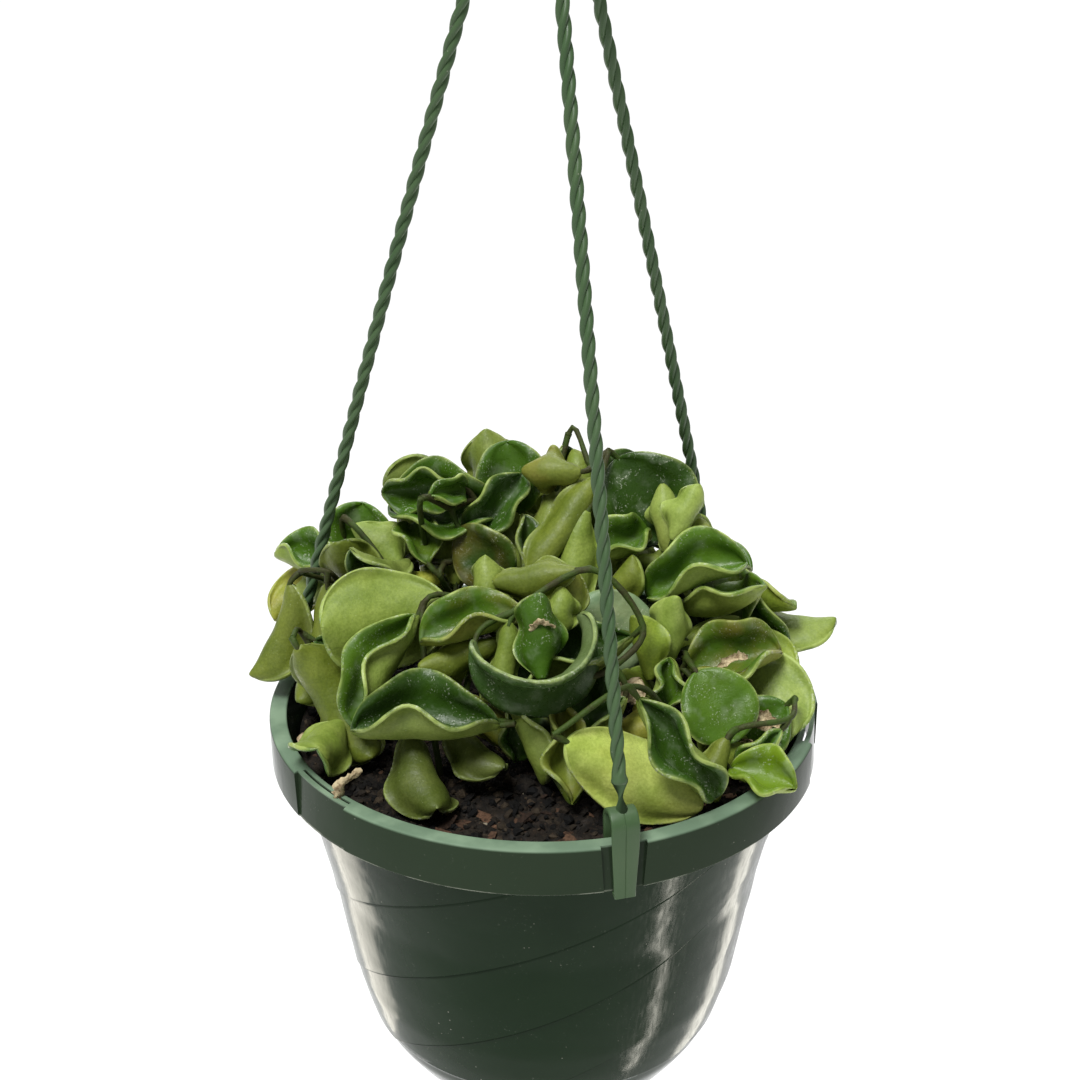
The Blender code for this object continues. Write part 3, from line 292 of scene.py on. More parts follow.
class Graph:
    """Adds shader nodes to one new material, so that a finish reads as a list of steps."""

    def __init__(self, name: str) -> None:
        """Make the material and keep its shader and its object coordinates."""
        self.material = bpy.data.materials.new(name)
        self.material.use_nodes = True
        self.tree = self.material.node_tree
        self.shader = self.tree.nodes["Principled BSDF"]
        self.place = self.tree.nodes.new("ShaderNodeTexCoord").outputs["Object"]

    def feed(self, socket: bpy.types.NodeSocket, value: object) -> None:
        """Link a socket to the value, or set it as the socket's own."""
        if isinstance(value, bpy.types.NodeSocket):
            self.tree.links.new(value, socket)
        elif isinstance(value, tuple) and len(value) == 3 and socket.type == "RGBA":
            socket.default_value = (*value, 1.0)
        else:
            socket.default_value = value

    def stretched(self, scale: tuple[float, float, float]) -> bpy.types.NodeSocket:
        """Object coordinates scaled by axis."""
        node = self.tree.nodes.new("ShaderNodeMapping")
        self.feed(node.inputs["Vector"], self.place)
        node.inputs["Scale"].default_value = scale
        return node.outputs["Vector"]

    def noise(self, size: float, detail: float = 3.0, rough: float = 0.5,
              place: bpy.types.NodeSocket | None = None) -> bpy.types.NodeSocket:
        """Fractal noise whose largest blotches are about size millimetres wide."""
        node = self.tree.nodes.new("ShaderNodeTexNoise")
        self.feed(node.inputs["Vector"], place or self.place)
        node.inputs["Scale"].default_value = 1.0 / (size * MM)
        node.inputs["Detail"].default_value = detail
        node.inputs["Roughness"].default_value = rough
        return node.outputs["Fac"]

    def cells(self, size: float, place: bpy.types.NodeSocket | None = None) -> bpy.types.NodeSocket:
        """Distance to the nearest of scattered points that lie about size millimetres apart."""
        node = self.tree.nodes.new("ShaderNodeTexVoronoi")
        self.feed(node.inputs["Vector"], place or self.place)
        node.inputs["Scale"].default_value = 1.0 / (size * MM)
        return node.outputs["Distance"]

    def stored(self, name: str, colour: bool = False) -> bpy.types.NodeSocket:
        """A value or a colour kept on the mesh's points."""
        node = self.tree.nodes.new("ShaderNodeAttribute")
        node.attribute_name = name
        return node.outputs["Color" if colour else "Fac"]

    def between(self, value: bpy.types.NodeSocket, low: float, high: float,
                to_low: float = 0.0, to_high: float = 1.0) -> bpy.types.NodeSocket:
        """The value carried from one range to another with a smooth start and end."""
        node = self.tree.nodes.new("ShaderNodeMapRange")
        node.interpolation_type = "SMOOTHSTEP"
        self.feed(node.inputs["Value"], value)
        for key, number in (("From Min", low), ("From Max", high), ("To Min", to_low), ("To Max", to_high)):
            node.inputs[key].default_value = number
        return node.outputs["Result"]

    def maths(self, operation: str, first: object, second: object) -> bpy.types.NodeSocket:
        """One arithmetic step on two numbers."""
        node = self.tree.nodes.new("ShaderNodeMath")
        node.operation = operation
        self.feed(node.inputs[0], first)
        self.feed(node.inputs[1], second)
        return node.outputs["Value"]

    def mixed(self, amount: object, first: object, second: object,
              blend: str = "MIX") -> bpy.types.NodeSocket:
        """The first colour changed towards the second by the amount."""
        node = self.tree.nodes.new("ShaderNodeMix")
        node.data_type = "RGBA"
        node.blend_type = blend
        self.feed(node.inputs[0], amount)
        self.feed(node.inputs[6], first)
        self.feed(node.inputs[7], second)
        return node.outputs[2]

    def bumped(self, height: bpy.types.NodeSocket, depth: float) -> None:
        """Raise the shading by a height field whose full range is depth millimetres."""
        node = self.tree.nodes.new("ShaderNodeBump")
        self.feed(node.inputs["Height"], height)
        node.inputs["Strength"].default_value = 1.0
        node.inputs["Distance"].default_value = depth * MM
        self.tree.links.new(node.outputs["Normal"], self.shader.inputs["Normal"])

    def done(self, colour: object, roughness: object, **sockets: float) -> bpy.types.Material:
        """Set the shader's colour, roughness and plain sockets, and hand over the material."""
        self.feed(self.shader.inputs["Base Color"], colour)
        self.feed(self.shader.inputs["Roughness"], roughness)
        for key, value in sockets.items():
            self.shader.inputs[key.replace("_", " ")].default_value = value
        return self.material


class Tone(Enum):
    """Colours of a leaf, the upper side's and then the underside's, as linear red, green and blue."""

    DEEP = ((0.025, 0.064, 0.006), (0.225, 0.285, 0.062))
    MID = ((0.044, 0.108, 0.007), (0.245, 0.315, 0.060))
    GRASS = ((0.060, 0.132, 0.010), (0.350, 0.445, 0.105))
    OLIVE = ((0.042, 0.080, 0.008), (0.170, 0.208, 0.028))
    LIME = ((0.095, 0.165, 0.008), (0.285, 0.365, 0.050))
    GOLD = ((0.075, 0.125, 0.010), (0.370, 0.390, 0.052))
    BLOOM = ((0.150, 0.235, 0.120), (0.190, 0.250, 0.070))
    SAGE = ((0.030, 0.068, 0.014), (0.150, 0.205, 0.085))
    # painted shade: a darker copy of the leaf colours, for leaves that lie in shadow low near the soil
    SHADE = ((0.014, 0.030, 0.005), (0.100, 0.125, 0.026))
    # partly painted light: a pale leaf colour, brightened further to stand in for the strong light on the
    # leaf that lies over the rim
    PALE = ((0.120, 0.220, 0.030), (0.580, 0.670, 0.165))


VIEW_TILT = math.radians(30.0)


@dataclass(frozen=True)
class Leaf:
    """One leaf as a person sees it who stands at azimuth seen_from and looks 30 degrees down.

    at is its middle, from the rim's centre; size is its length and half width. pose is the angle of its
    midrib in the view, how far its tip leans towards the viewer, and how far it is rolled: 0 shows the
    upper side and 180 the underside. bend is the fold of each half, the arc of the midrib and its twist.
    """

    at: tuple[float, float, float]
    size: tuple[float, float]
    pose: tuple[float, float, float]
    bend: tuple[float, float, float]
    tone: Tone = Tone.MID
    seen_from: float = 0.0

    def axes(self) -> np.ndarray:
        """Columns are the leaf's length, its width and its upper side's normal, in the plant's frame."""
        a = math.radians(self.seen_from)
        right = np.array((math.cos(a), math.sin(a), 0.0))
        level = np.array((math.sin(a), -math.cos(a), 0.0))
        towards = level * math.cos(VIEW_TILT) + np.array((0, 0, math.sin(VIEW_TILT)))
        up = np.cross(towards, right)
        lay, lean, face = (math.radians(v) for v in self.pose)
        along = math.cos(lean) * (math.cos(lay) * right + math.sin(lay) * up) + math.sin(lean) * towards
        normal = towards - np.dot(towards, along) * along
        normal /= np.linalg.norm(normal)
        normal = math.cos(face) * normal + math.sin(face) * np.cross(along, normal)
        return np.stack((along, np.cross(normal, along), normal), axis=1)

    def blade(self, rows: int, half: int) -> tuple[np.ndarray, np.ndarray]:
        """The middle surface of the leaf on a grid of rows along it and columns across it.

        The midrib is an arc in the plane of length and normal. From each of its points the two halves run
        out. Their slope grows fast up to the fold, ripples along the leaf and falls back at the lip, where
        the margin rolls outwards. The half width is blunt at the tip and fuller near the stalk.

        Args:
            rows: Number of steps from the stalk to the tip.
            half: Number of steps from the midrib to the margin.

        Returns:
            The grid of points in the leaf's own axes, and the midrib's direction at the stalk.
        """
        length, half_width = self.size
        fold, arc, twist = (math.radians(v) for v in self.bend)
        u = 0.5 - 0.5 * np.cos(math.pi * np.linspace(0, 1, rows + 1))
        slope = arc * (u - 0.5)
        tangent = np.stack((np.cos(slope), 0 * u, np.sin(slope)), axis=1)
        normal = np.stack((-np.sin(slope), 0 * u, np.cos(slope)), axis=1)
        steps = 0.5 * (tangent[1:] + tangent[:-1]) * length * np.diff(u)[:, None]
        midrib = np.vstack((np.zeros(3), np.cumsum(steps, axis=0)))
        turn = twist * (u - 0.5)
        level = np.array((0.0, 1.0, 0.0))
        side = np.cos(turn)[:, None] * level + np.sin(turn)[:, None] * normal
        rise = -np.sin(turn)[:, None] * level + np.cos(turn)[:, None] * normal
        width = 1.19 * half_width * (1 - (1 - u) ** 2.6) ** 0.6 * (1 - u ** 3.5) ** 0.5
        q = (np.arange(half) + 0.5) / half
        phase = self.at[0] + self.at[1]
        grid = np.zeros((rows + 1, 2 * half + 1, 3))
        grid[:, half] = midrib
        for sign in (-1, 1):
            ripple = 1 + RIPPLE * np.sin(2 * math.pi * 1.4 * u + phase + sign)
            lip = math.copysign(math.radians(LIP_DEGREES), fold) * np.clip((q - 0.7) / 0.3, 0, 1) ** 1.3
            angle = fold * ripple[:, None] * np.clip(q / 0.62, 0, 1)[None] ** 0.85 - lip[None]
            reach = np.cumsum(np.cos(angle), axis=1) * width[:, None] / half
            lift = np.cumsum(np.sin(angle), axis=1) * width[:, None] / half
            outward = midrib[:, None] + sign * reach[..., None] * side[:, None]
            grid[:, half + sign * np.arange(1, half + 1)] = outward + lift[..., None] * rise[:, None]
        return grid, tangent[0]


@dataclass(frozen=True)
class Vine:
    """One leafy stem: its name, where it comes out of the soil, and its leaves from the root on."""

    name: str
    root: tuple[float, float]
    leaves: list[Leaf]


def leaf(at: tuple[float, float, float], size: tuple[float, float], pose: tuple[float, float, float],
         bend: tuple[float, float, float], tone: Tone) -> Leaf:
    """A leaf seen from the front."""
    return Leaf(at, size, pose, bend, tone)


def portrait_vines() -> list[Vine]:
    """The vines that face the front, leaf by leaf from the root to the tip."""
    return [
        Vine("vine_left", (-40, 14), [
            leaf((-35, 29, 28), (13, 7), (120, 10, 150), (97, 30, 0), Tone.DEEP),
            leaf((-64, 25, 28), (33, 13), (158, 5, 35), (98, 15, 20), Tone.MID),
            leaf((-56, 30, 36), (17, 11), (110, 0, 20), (45, -20, 0), Tone.MID),
            leaf((-46, 28, 35), (19, 10), (340, 0, -150), (69, 20, 0), Tone.GRASS),
            leaf((-53, 21, 25), (16, 5), (292, 0, -180), (45, 10, 0), Tone.GOLD),
            leaf((-44, 20, 31), (23, 12), (0, -5, -180), (98, 55, 0), Tone.GOLD),
            leaf((-59, 16, 24), (15, 10), (275, -5, -180), (93, 30, 0), Tone.OLIVE),
            leaf((-68, 1, 20), (36, 16), (262, -5, 200), (83, -40, 10), Tone.OLIVE),
            leaf((-77, 6, 20), (30, 12), (256, -10, 235), (83, -30, 0), Tone.OLIVE),
            leaf((-67, 33, 20), (20, 9), (200, 0, 160), (87, 20, 0), Tone.DEEP),
        ]),
        Vine("vine_crown_left", (-24, 20), [
            leaf((-27, 2, 20), (20, 9), (240, 0, 20), (89, 20, 0), Tone.DEEP),
            leaf((-13, 23, 40), (27, 17), (88, 0, -155), (83, 40, 0), Tone.MID),
            leaf((-29, 26, 36), (22, 15), (90, -5, -180), (91, 50, 0), Tone.MID),
            leaf((-40, 25, 40), (17, 9), (135, 0, 30), (69, 0, 0), Tone.GRASS),
            leaf((-12, 27, 51), (27, 11), (48, 5, -20), (83, 10, 50), Tone.DEEP),
            leaf((-42, 29, 44), (18, 9), (110, 0, 160), (83, 20, 0), Tone.MID),
            leaf((-28, 25, 56), (16, 6), (80, 0, 40), (74, 0, 50), Tone.MID),
            leaf((-13, 17, 44), (21, 10), (275, -5, 0), (28, -20, 0), Tone.DEEP),
            leaf((-34, 30, 53), (23, 11), (172, 5, -40), (83, 20, 20), Tone.MID),
            leaf((-16, 32, 56), (28, 16), (82, 0, 180), (80, 50, 0), Tone.MID),
            leaf((-29, 29, 50), (33, 17), (182, -5, 15), (77, -15, -10), Tone.MID),
            leaf((-9, 34, 56), (22, 11), (95, -5, 0), (45, -20, 0), Tone.MID),
            leaf((-45, 34, 30), (18, 9), (95, 0, 180), (89, 40, 0), Tone.MID),
            leaf((-29, 34, 30), (19, 10), (60, 0, -20), (87, 20, 20), Tone.MID),
        ]),
        Vine("vine_crown_right", (10, 20), [
            leaf((-6, 16, 41), (22, 6), (85, 0, 10), (83, 0, 20), Tone.DEEP),
            leaf((26, 8, 35), (19, 9), (0, 0, 150), (83, 10, 0), Tone.OLIVE),
            leaf((2, 27, 51), (18, 11), (80, -5, -180), (91, 50, 0), Tone.MID),
            leaf((27, 18, 43), (19, 12), (15, 5, -50), (91, 0, 0), Tone.GRASS),
            leaf((10, 30, 55), (26, 11), (100, 0, 150), (83, 90, 0), Tone.MID),
            leaf((22, 32, 54), (22, 12), (65, 0, 0), (45, -20, 0), Tone.DEEP),
            leaf((9, 13, 41), (35, 10), (262, 5, 190), (69, 20, 70), Tone.MID),
            leaf((5, 16, 47), (36, 10), (223, -5, -200), (83, 20, -15), Tone.OLIVE),
            leaf((28, 28, 51), (28, 17), (298, -5, 12), (39, -20, 0), Tone.DEEP),
            leaf((1, 29, 56), (18, 11), (200, 5, 180), (91, 50, 0), Tone.OLIVE),
            leaf((3, 33, 59), (15, 10), (260, 0, -10), (62, -20, 0), Tone.DEEP),
            leaf((5, 19, 30), (20, 10), (100, 0, 20), (89, 20, 0), Tone.DEEP),
            leaf((24, 33, 30), (18, 9), (250, 0, 180), (84, 30, 0), Tone.MID),
        ]),
        Vine("vine_right", (50, 4), [
            leaf((55, 15, 28), (19, 11), (90, 0, 0), (45, -20, 0), Tone.DEEP),
            leaf((50, 12, 34), (16, 7), (100, 0, 170), (83, 10, 0), Tone.LIME),
            leaf((34, 15, 40), (11, 7), (180, 0, 150), (98, 40, 0), Tone.MID),
            leaf((42, 17, 50), (18, 10), (85, 5, 180), (97, 40, 0), Tone.GRASS),
            leaf((44, 15, 42), (13, 9), (60, 5, 160), (69, 30, 0), Tone.MID),
            leaf((36, 20, 48), (22, 11), (70, 0, 170), (97, 50, 0), Tone.GRASS),
            leaf((57, -3, 20), (35, 15), (322, 5, 180), (39, -20, 0), Tone.LIME),
            leaf((43, 5, 34), (31, 15), (5, 5, -35), (91, -30, 0), Tone.GRASS),
            leaf((46, 32, 20), (20, 10), (120, 0, 160), (87, 30, 0), Tone.DEEP),
        ]),
        Vine("vine_centre", (-4, -26), [
            leaf((-4, -32, 37), (23, 11), (90, 5, 0), (-83, -10, 0), Tone.MID),
            leaf((4, -44, 8), (31, 12), (276, 12, 180), (-98, -60, 0), Tone.OLIVE),
            leaf((11, -39, 9), (29, 10), (268, 5, 50), (98, 0, 0), Tone.DEEP),
            leaf((0, -29, 24), (48, 20), (202, -5, 48), (83, 50, 0), Tone.DEEP),
            leaf((-2, -16, 44), (24, 9), (200, 0, -170), (77, 20, 0), Tone.OLIVE),
            leaf((0, -36, 32), (54, 13), (5, 0, 58), (35, -200, 0), Tone.SAGE),
            leaf((-10, -31, 33), (19, 7), (258, -5, -170), (83, 0, 0), Tone.MID),
            leaf((-18, -23, 35), (31, 13), (198, -5, 42), (83, 0, 0), Tone.MID),
            leaf((-1, -22, 40), (15, 9), (95, 0, 180), (87, 70, 0), Tone.MID),
            leaf((4, -17, 42), (15, 7), (60, 0, 170), (69, 20, 0), Tone.OLIVE),
            leaf((-1, -39, 10), (26, 10), (262, 5, -55), (97, 0, 0), Tone.DEEP),
            leaf((-25, -26, 27), (23, 11), (195, 8, 200), (98, 10, 0), Tone.OLIVE),
            leaf((-9, -34, 10), (18, 7), (275, 0, 0), (69, 0, 0), Tone.DEEP),
            leaf((-14, -30, 11), (17, 6), (280, 0, 180), (69, 0, 20), Tone.OLIVE),
            leaf((-14, -14, 43), (18, 11), (82, 0, 165), (98, 20, 0), Tone.MID),
            leaf((14, 22, 25), (18, 9), (110, 0, 0), (89, 20, 0), Tone.MID),
        ]),
        Vine("vine_front_left", (-30, -34), [
            leaf((-33, -50, 5), (27, 13), (266, 12, 165), (83, -20, 25), Tone.SHADE),
            leaf((-40, -27, 26), (37, 15), (224, 5, 50), (98, 10, 0), Tone.GRASS),
            leaf((-46, -13, 31), (39, 16), (190, 5, 172), (39, -20, 10), Tone.MID),
            leaf((-19, -40, 7), (22, 10), (292, 5, 150), (77, 0, 0), Tone.SHADE),
            leaf((-32, -42, 18), (41, 18), (184, 5, 48), (91, 15, 0), Tone.DEEP),
        ]),
        Vine("vine_rim_left", (-52, -18), [
            leaf((-64, -34, 3), (22, 11), (250, 8, 165), (69, -20, 0), Tone.MID),
            leaf((-56, -14, 18), (24, 10), (350, 0, -20), (83, 0, 0), Tone.DEEP),
            leaf((-61, -24, 9), (38, 18), (292, 5, 178), (91, -30, -30), Tone.OLIVE),
        ]),
        Vine("vine_disc", (17, -22), [
            leaf((21, -7, 25), (25, 13), (75, -5, -2), (10, -12, 0), Tone.BLOOM),
            leaf((24, -31, 7), (19, 12), (5, 5, 180), (81, 50, 0), Tone.GOLD),
            leaf((10, -22, 15), (29, 10), (95, 0, -5), (62, 0, 0), Tone.DEEP),
            leaf((16, -29, 7), (9, 5), (90, 0, 180), (83, 20, 0), Tone.OLIVE),
        ]),
        Vine("vine_front_right", (42, -20), [
            leaf((35, -21, 14), (15, 10), (100, 0, 0), (98, 0, 0), Tone.GRASS),
            leaf((29, -17, 15), (13, 7), (150, 0, 180), (69, 30, 0), Tone.LIME),
            leaf((33, -15, 24), (19, 9), (100, 0, 155), (83, 10, 0), Tone.LIME),
            leaf((37, -13, 26), (24, 10), (84, 0, 180), (97, 10, 0), Tone.GRASS),
            leaf((52, -13, 19), (29, 15), (12, 5, -30), (83, 0, 0), Tone.GRASS),
            leaf((46, -30, 9), (32, 9), (298, 5, 185), (69, 60, 50), Tone.LIME),
            leaf((49, -31, 15), (22, 11), (290, 10, 0), (22, -10, 0), Tone.GRASS),
            leaf((65, -14, 9), (36, 15), (302, 5, 180), (39, -40, 0), Tone.GRASS),
            leaf((26, 5, 20), (18, 9), (70, 0, 180), (82, 40, 0), Tone.MID),
        ]),
        Vine("vine_over_rim", (32, -46), [
            leaf((29, -48, 8), (15, 7), (242, 0, -160), (98, 20, 0), Tone.OLIVE),
            leaf((39, -62, 10), (35, 13), (300, 8, 0), (98, 0, 0), Tone.DEEP),
            leaf((27, -60, 6), (42, 12), (338, 3, -180), (44, -15, 15), Tone.PALE),
        ]),
        Vine("vine_rim_right", (48, -36), [
            leaf((64, -52, 5), (19, 10), (345, 5, -30), (69, 10, 0), Tone.LIME),
            leaf((54, -49, 3), (17, 9), (200, -5, -180), (98, 0, 0), Tone.OLIVE),
            leaf((60, -48, 4), (17, 6), (250, 0, -20), (83, 0, 0), Tone.MID),
            leaf((66, -28, 2), (19, 10), (220, 0, 0), (34, 0, 0), Tone.MID),
        ]),
    ]


BACK_SECTORS = (("vine_back_right", 124.0, 0.5), ("vine_back", 150.0, 0.8),
                ("vine_back_middle", 195.0, 1.0), ("vine_back_left", 236.0, 0.85))
BACK_LEAVES = 8
BACK_SEED = 14
BACK_HABITS = ((62, 20, 0), (75, 55, 0), (45, -20, 10), (85, 10, 0), (60, 60, 30), (40, -15, -20),
               (65, -40, 0))
BACK_ROLLS = (0, -40, 40, 180, 150, 210)
BACK_RADII = (42.0, 67.0)
BACK_TONES = (Tone.MID, Tone.DEEP, Tone.MID, Tone.OLIVE, Tone.LIME, Tone.DEEP, Tone.MID, Tone.GOLD)


def dome_height(radius: float, share: float) -> float:
    """Height of the foliage over the rim at a radius, with a share of the full dome's rise."""
    return 10.0 + 43.0 * share * (1.0 - (radius / 86.0) ** 2)


def back_vines() -> list[Vine]:
    """The vines behind, one to a sector, each with leaves to both sides of a stem that runs down the dome."""
    draw = np.random.default_rng(BACK_SEED)
    vines = []
    for name, azimuth, share in BACK_SECTORS:
        leaves = []
        for i in range(BACK_LEAVES):
            part = i / (BACK_LEAVES - 1)
            radius = BACK_RADII[0] + (BACK_RADII[1] - BACK_RADII[0]) * part
            side = 1 if i % 2 else -1
            turn = math.radians(azimuth + side * 2.0)
            node = np.array((radius * math.sin(turn), -radius * math.cos(turn), dome_height(radius, share)))
            length = draw.uniform(20, 34)
            lay = 270 + side * (draw.uniform(25, 65) + 55 * (1 - part))
            size = (length, length * draw.uniform(0.34, 0.46))
            pose = (lay, draw.uniform(0, 25), draw.choice(BACK_ROLLS))
            habit = BACK_HABITS[draw.integers(len(BACK_HABITS))]
            one = Leaf(tuple(node), size, pose, habit, BACK_TONES[i], azimuth)
            at = node + one.axes()[:, 0] * (0.5 * length + PETIOLE + 1.0)
            leaves.append(Leaf(tuple(at), size, pose, habit, BACK_TONES[i], azimuth))
        turn = math.radians(azimuth)
        vines.append(Vine(name, (BACK_RADII[0] * math.sin(turn), -BACK_RADII[0] * math.cos(turn)), leaves))
    return vines


SOIL_EDGE = (74.2, 119.0)
SOIL_MOUND = 2.5
STRAND_REACH = 81.5
STRAND_APEX = 271.0
STRAND_BOW = 1.5
BLADE_ROWS = 24
BLADE_HALF = 10
LIP_DEGREES = 60.0
RIPPLE = 0.2
PETIOLE = 4.5
STEM_EVENING = 2
STEM_SAMPLES = 16
STALK_SAMPLES = 3
FREE, STALK_ROW, STEM = 0, 1, 2


def soil_height(x: np.ndarray, y: np.ndarray) -> np.ndarray:
    """Height of the soil over the pot's underside: a low mound with a rough, crumbly relief."""
    part = np.clip(np.hypot(x, y) / SOIL_EDGE[0], 0, 1)
    rough = np.sin(0.31 * x + 1.3) * np.cos(0.27 * y) + 0.6 * np.sin(0.53 * y - 0.41 * x)
    return SOIL_EDGE[1] + SOIL_MOUND * (1 - part ** 2) + 0.6 * rough * (1 - part ** 4)


def stem_foot(vine: Vine) -> np.ndarray:
    """The point just over the soil where a vine's stem comes out, from the rim's centre."""
    x, y = vine.root
    return np.array((x, y, soil_height(x, y) - RIM_HEIGHT + 1.5))


def strand_point(azimuth: float, height: float) -> np.ndarray:
    """A point on a strand's middle line, from the rim's centre, with its slight outward bow."""
    part = height / STRAND_APEX
    return circle_point(azimuth, STRAND_REACH * (1 - part) + 4 * STRAND_BOW * part * (1 - part), height)


def close_pairs(points: np.ndarray, reach: float) -> tuple[np.ndarray, np.ndarray]:
    """Index pairs of points whose cells in a grid of the given size touch, each pair once."""
    cell = np.floor((points - points.min(axis=0)) / reach).astype(np.int64) + 1
    span = cell.max(axis=0) + 2
    key = (cell[:, 0] * span[1] + cell[:, 1]) * span[2] + cell[:, 2]
    order = np.argsort(key, kind="stable")
    cells, start, count = np.unique(key[order], return_index=True, return_counts=True)
    firsts, seconds = [], []
    beside = [(x, y, z) for x in (0, 1) for y in (-1, 0, 1) for z in (-1, 0, 1) if (x, y, z) >= (0, 0, 0)]
    for x, y, z in beside:
        other = key + (x * span[1] + y) * span[2] + z
        slot = np.minimum(np.searchsorted(cells, other), len(cells) - 1)
        who = np.nonzero(cells[slot] == other)[0]
        many = count[slot[who]]
        first = np.repeat(who, many)
        within = np.arange(len(first)) - np.repeat(np.cumsum(many) - many, many)
        second = order[np.repeat(start[slot[who]], many) + within]
        once = first < second if (x, y, z) == (0, 0, 0) else slice(None)
        firsts.append(first[once])
        seconds.append(second[once])
    return np.concatenate(firsts), np.concatenate(seconds)


class Thicket:
    """All the leaves together, which grow from small to full size while they push each other aside.

    The steps are those of the part's source, so every leaf ends where its solid is.
    """

    STEPS = 90
    FREE_STEPS = 50
    GROWN_AT = 0.75
    SEEDLING = 0.12
    CLEAR = 2.4
    GIVE = 0.5
    MOVE_LIMIT = 1.3
    LEASH = 9.0
    BETWEEN = 3.3
    WITHIN = 2.4
    HOME = 0.02
    TURN_LIMIT = math.radians(3.5)

    def __init__(self, vines: list[Vine]) -> None:
        """Lay every leaf at its first place."""
        self.vines = vines
        self.leaves = [one for vine in vines for one in vine.leaves]
        self.vine_of = np.array([i for i, vine in enumerate(vines) for _ in vine.leaves])
        self.feet = np.array([stem_foot(vine) for vine in vines])
        self.centre = np.array([one.at for one in self.leaves], dtype=float)
        self.home = self.centre.copy()
        self.axes = np.array([one.axes() for one in self.leaves])
        blades = [one.blade(BLADE_ROWS, BLADE_HALF) for one in self.leaves]
        self.middles = np.array([grid.mean(axis=(0, 1)) for grid, _ in blades])
        self.grids = np.array([grid for grid, _ in blades]) - self.middles[:, None, None]
        rows, columns = np.arange(1, BLADE_ROWS, 2), np.arange(0, 2 * BLADE_HALF + 1, 2)
        self.samples = self.grids[:, rows[:, None], columns].reshape(len(self.leaves), -1, 3)
        base = self.grids[:, 0, BLADE_HALF]
        self.roots = base - PETIOLE * np.array([stalk for _, stalk in blades])
        self.size = np.linalg.norm(self.samples, axis=2).max(axis=1)
        blade_role = np.where(np.repeat(rows, len(columns)) > 4, FREE, STALK_ROW)
        self.role = np.r_[blade_role, np.full(STEM_SAMPLES, STEM)]

    def placed(self, local: np.ndarray, scale: float = 1.0) -> np.ndarray:
        """Local points of every leaf, turned and moved to their place."""
        return np.einsum("nij,nkj->nki", self.axes, local * scale) + self.centre[:, None]

    def neighbours(self, joints: np.ndarray) -> tuple[np.ndarray, np.ndarray]:
        """The joint before and the joint after each one on its stem, which starts over the soil."""
        same = self.vine_of[1:] == self.vine_of[:-1]
        before = np.where(np.r_[False, same][:, None], np.roll(joints, 1, 0), self.feet[self.vine_of])
        after = np.where(np.r_[same, False][:, None], np.roll(joints, -1, 0), joints)
        return before, after

    def joints(self, scale: float = 1.0) -> np.ndarray:
        """Where each stalk meets its stem: the stalks' ends, evened out but kept behind their blades."""
        straight = self.placed(self.roots[:, None], scale)[:, 0]
        base = self.placed(self.grids[:, :1, BLADE_HALF], scale)[:, 0]
        joints = straight
        for _ in range(STEM_EVENING):
            before, after = self.neighbours(joints)
            joints = 0.5 * joints + 0.25 * (before + after)
        lengths = np.linalg.norm(base - joints, axis=1) * np.linalg.norm(base - straight, axis=1)
        behind = ((base - joints) * (base - straight)).sum(axis=1) / lengths
        back = np.clip((0.75 - behind) / 0.75, 0, 1)[:, None]
        return joints + (straight - joints) * back

    def stem_samples(self, joints: np.ndarray, blade_base: np.ndarray) -> np.ndarray:
        """Points on each leaf's stalk, half way up the stem, and half way or right down to the soil."""
        before, after = self.neighbours(joints)
        reach = np.where(np.r_[True, self.vine_of[1:] != self.vine_of[:-1]], 1.0, 0.5)[:, None]
        parts = [joints + (blade_base - joints) * f for f in (0.0, 0.35, 0.7)]
        parts += [joints + (after - joints) * f for f in (0.17, 0.34, 0.5)]
        parts += [joints + (before - joints) * f * reach for f in np.linspace(0.1, 1.0, 10)]
        return np.stack(parts, axis=1)

    def push_apart(self, points: np.ndarray, push: dict[str, np.ndarray]) -> None:
        """Add to push what neighbouring leaves ask of each other, as direction, turn, weight and depth."""
        flat = points.reshape(-1, 3)
        i, j = close_pairs(flat, self.BETWEEN)
        per_leaf = points.shape[1]
        a, b = i // per_leaf, j // per_leaf
        same = self.vine_of[a] == self.vine_of[b]
        role_i, role_j = self.role[i % per_leaf], self.role[j % per_leaf]
        blades = (role_i != STALK_ROW) & (role_j != STALK_ROW) & ((role_i == FREE) | (role_j == FREE))
        keep = (a != b) & (~same | blades)
        i, j, a, b, same = i[keep], j[keep], a[keep], b[keep], same[keep]
        reach = np.where(same, self.WITHIN, self.BETWEEN)
        line = flat[i] - flat[j]
        gap = np.linalg.norm(line, axis=1) + 1e-6
        near = gap < reach
        i, j, a, b, reach, gap = i[near], j[near], a[near], b[near], reach[near], gap[near]
        line = line[near] / gap[:, None]
        self.tightest = gap[~same[near]].min(initial=self.BETWEEN)
        self.record(push, a, flat[i], line, reach - gap)
        self.record(push, b, flat[j], -line, reach - gap)

    def record(self, push: dict[str, np.ndarray], who: np.ndarray, where: np.ndarray, direction: np.ndarray,
               depth: np.ndarray) -> None:
        """Sum the asked direction and turn of each leaf, weighted by depth, and keep the deepest."""
        arm = where - self.centre[who]
        np.add.at(push["move"], who, direction * depth[:, None])
        np.add.at(push["turn"], who, np.cross(arm, direction) * depth[:, None])
        np.add.at(push["weight"], who, depth)
        np.maximum.at(push["depth"], who, depth)

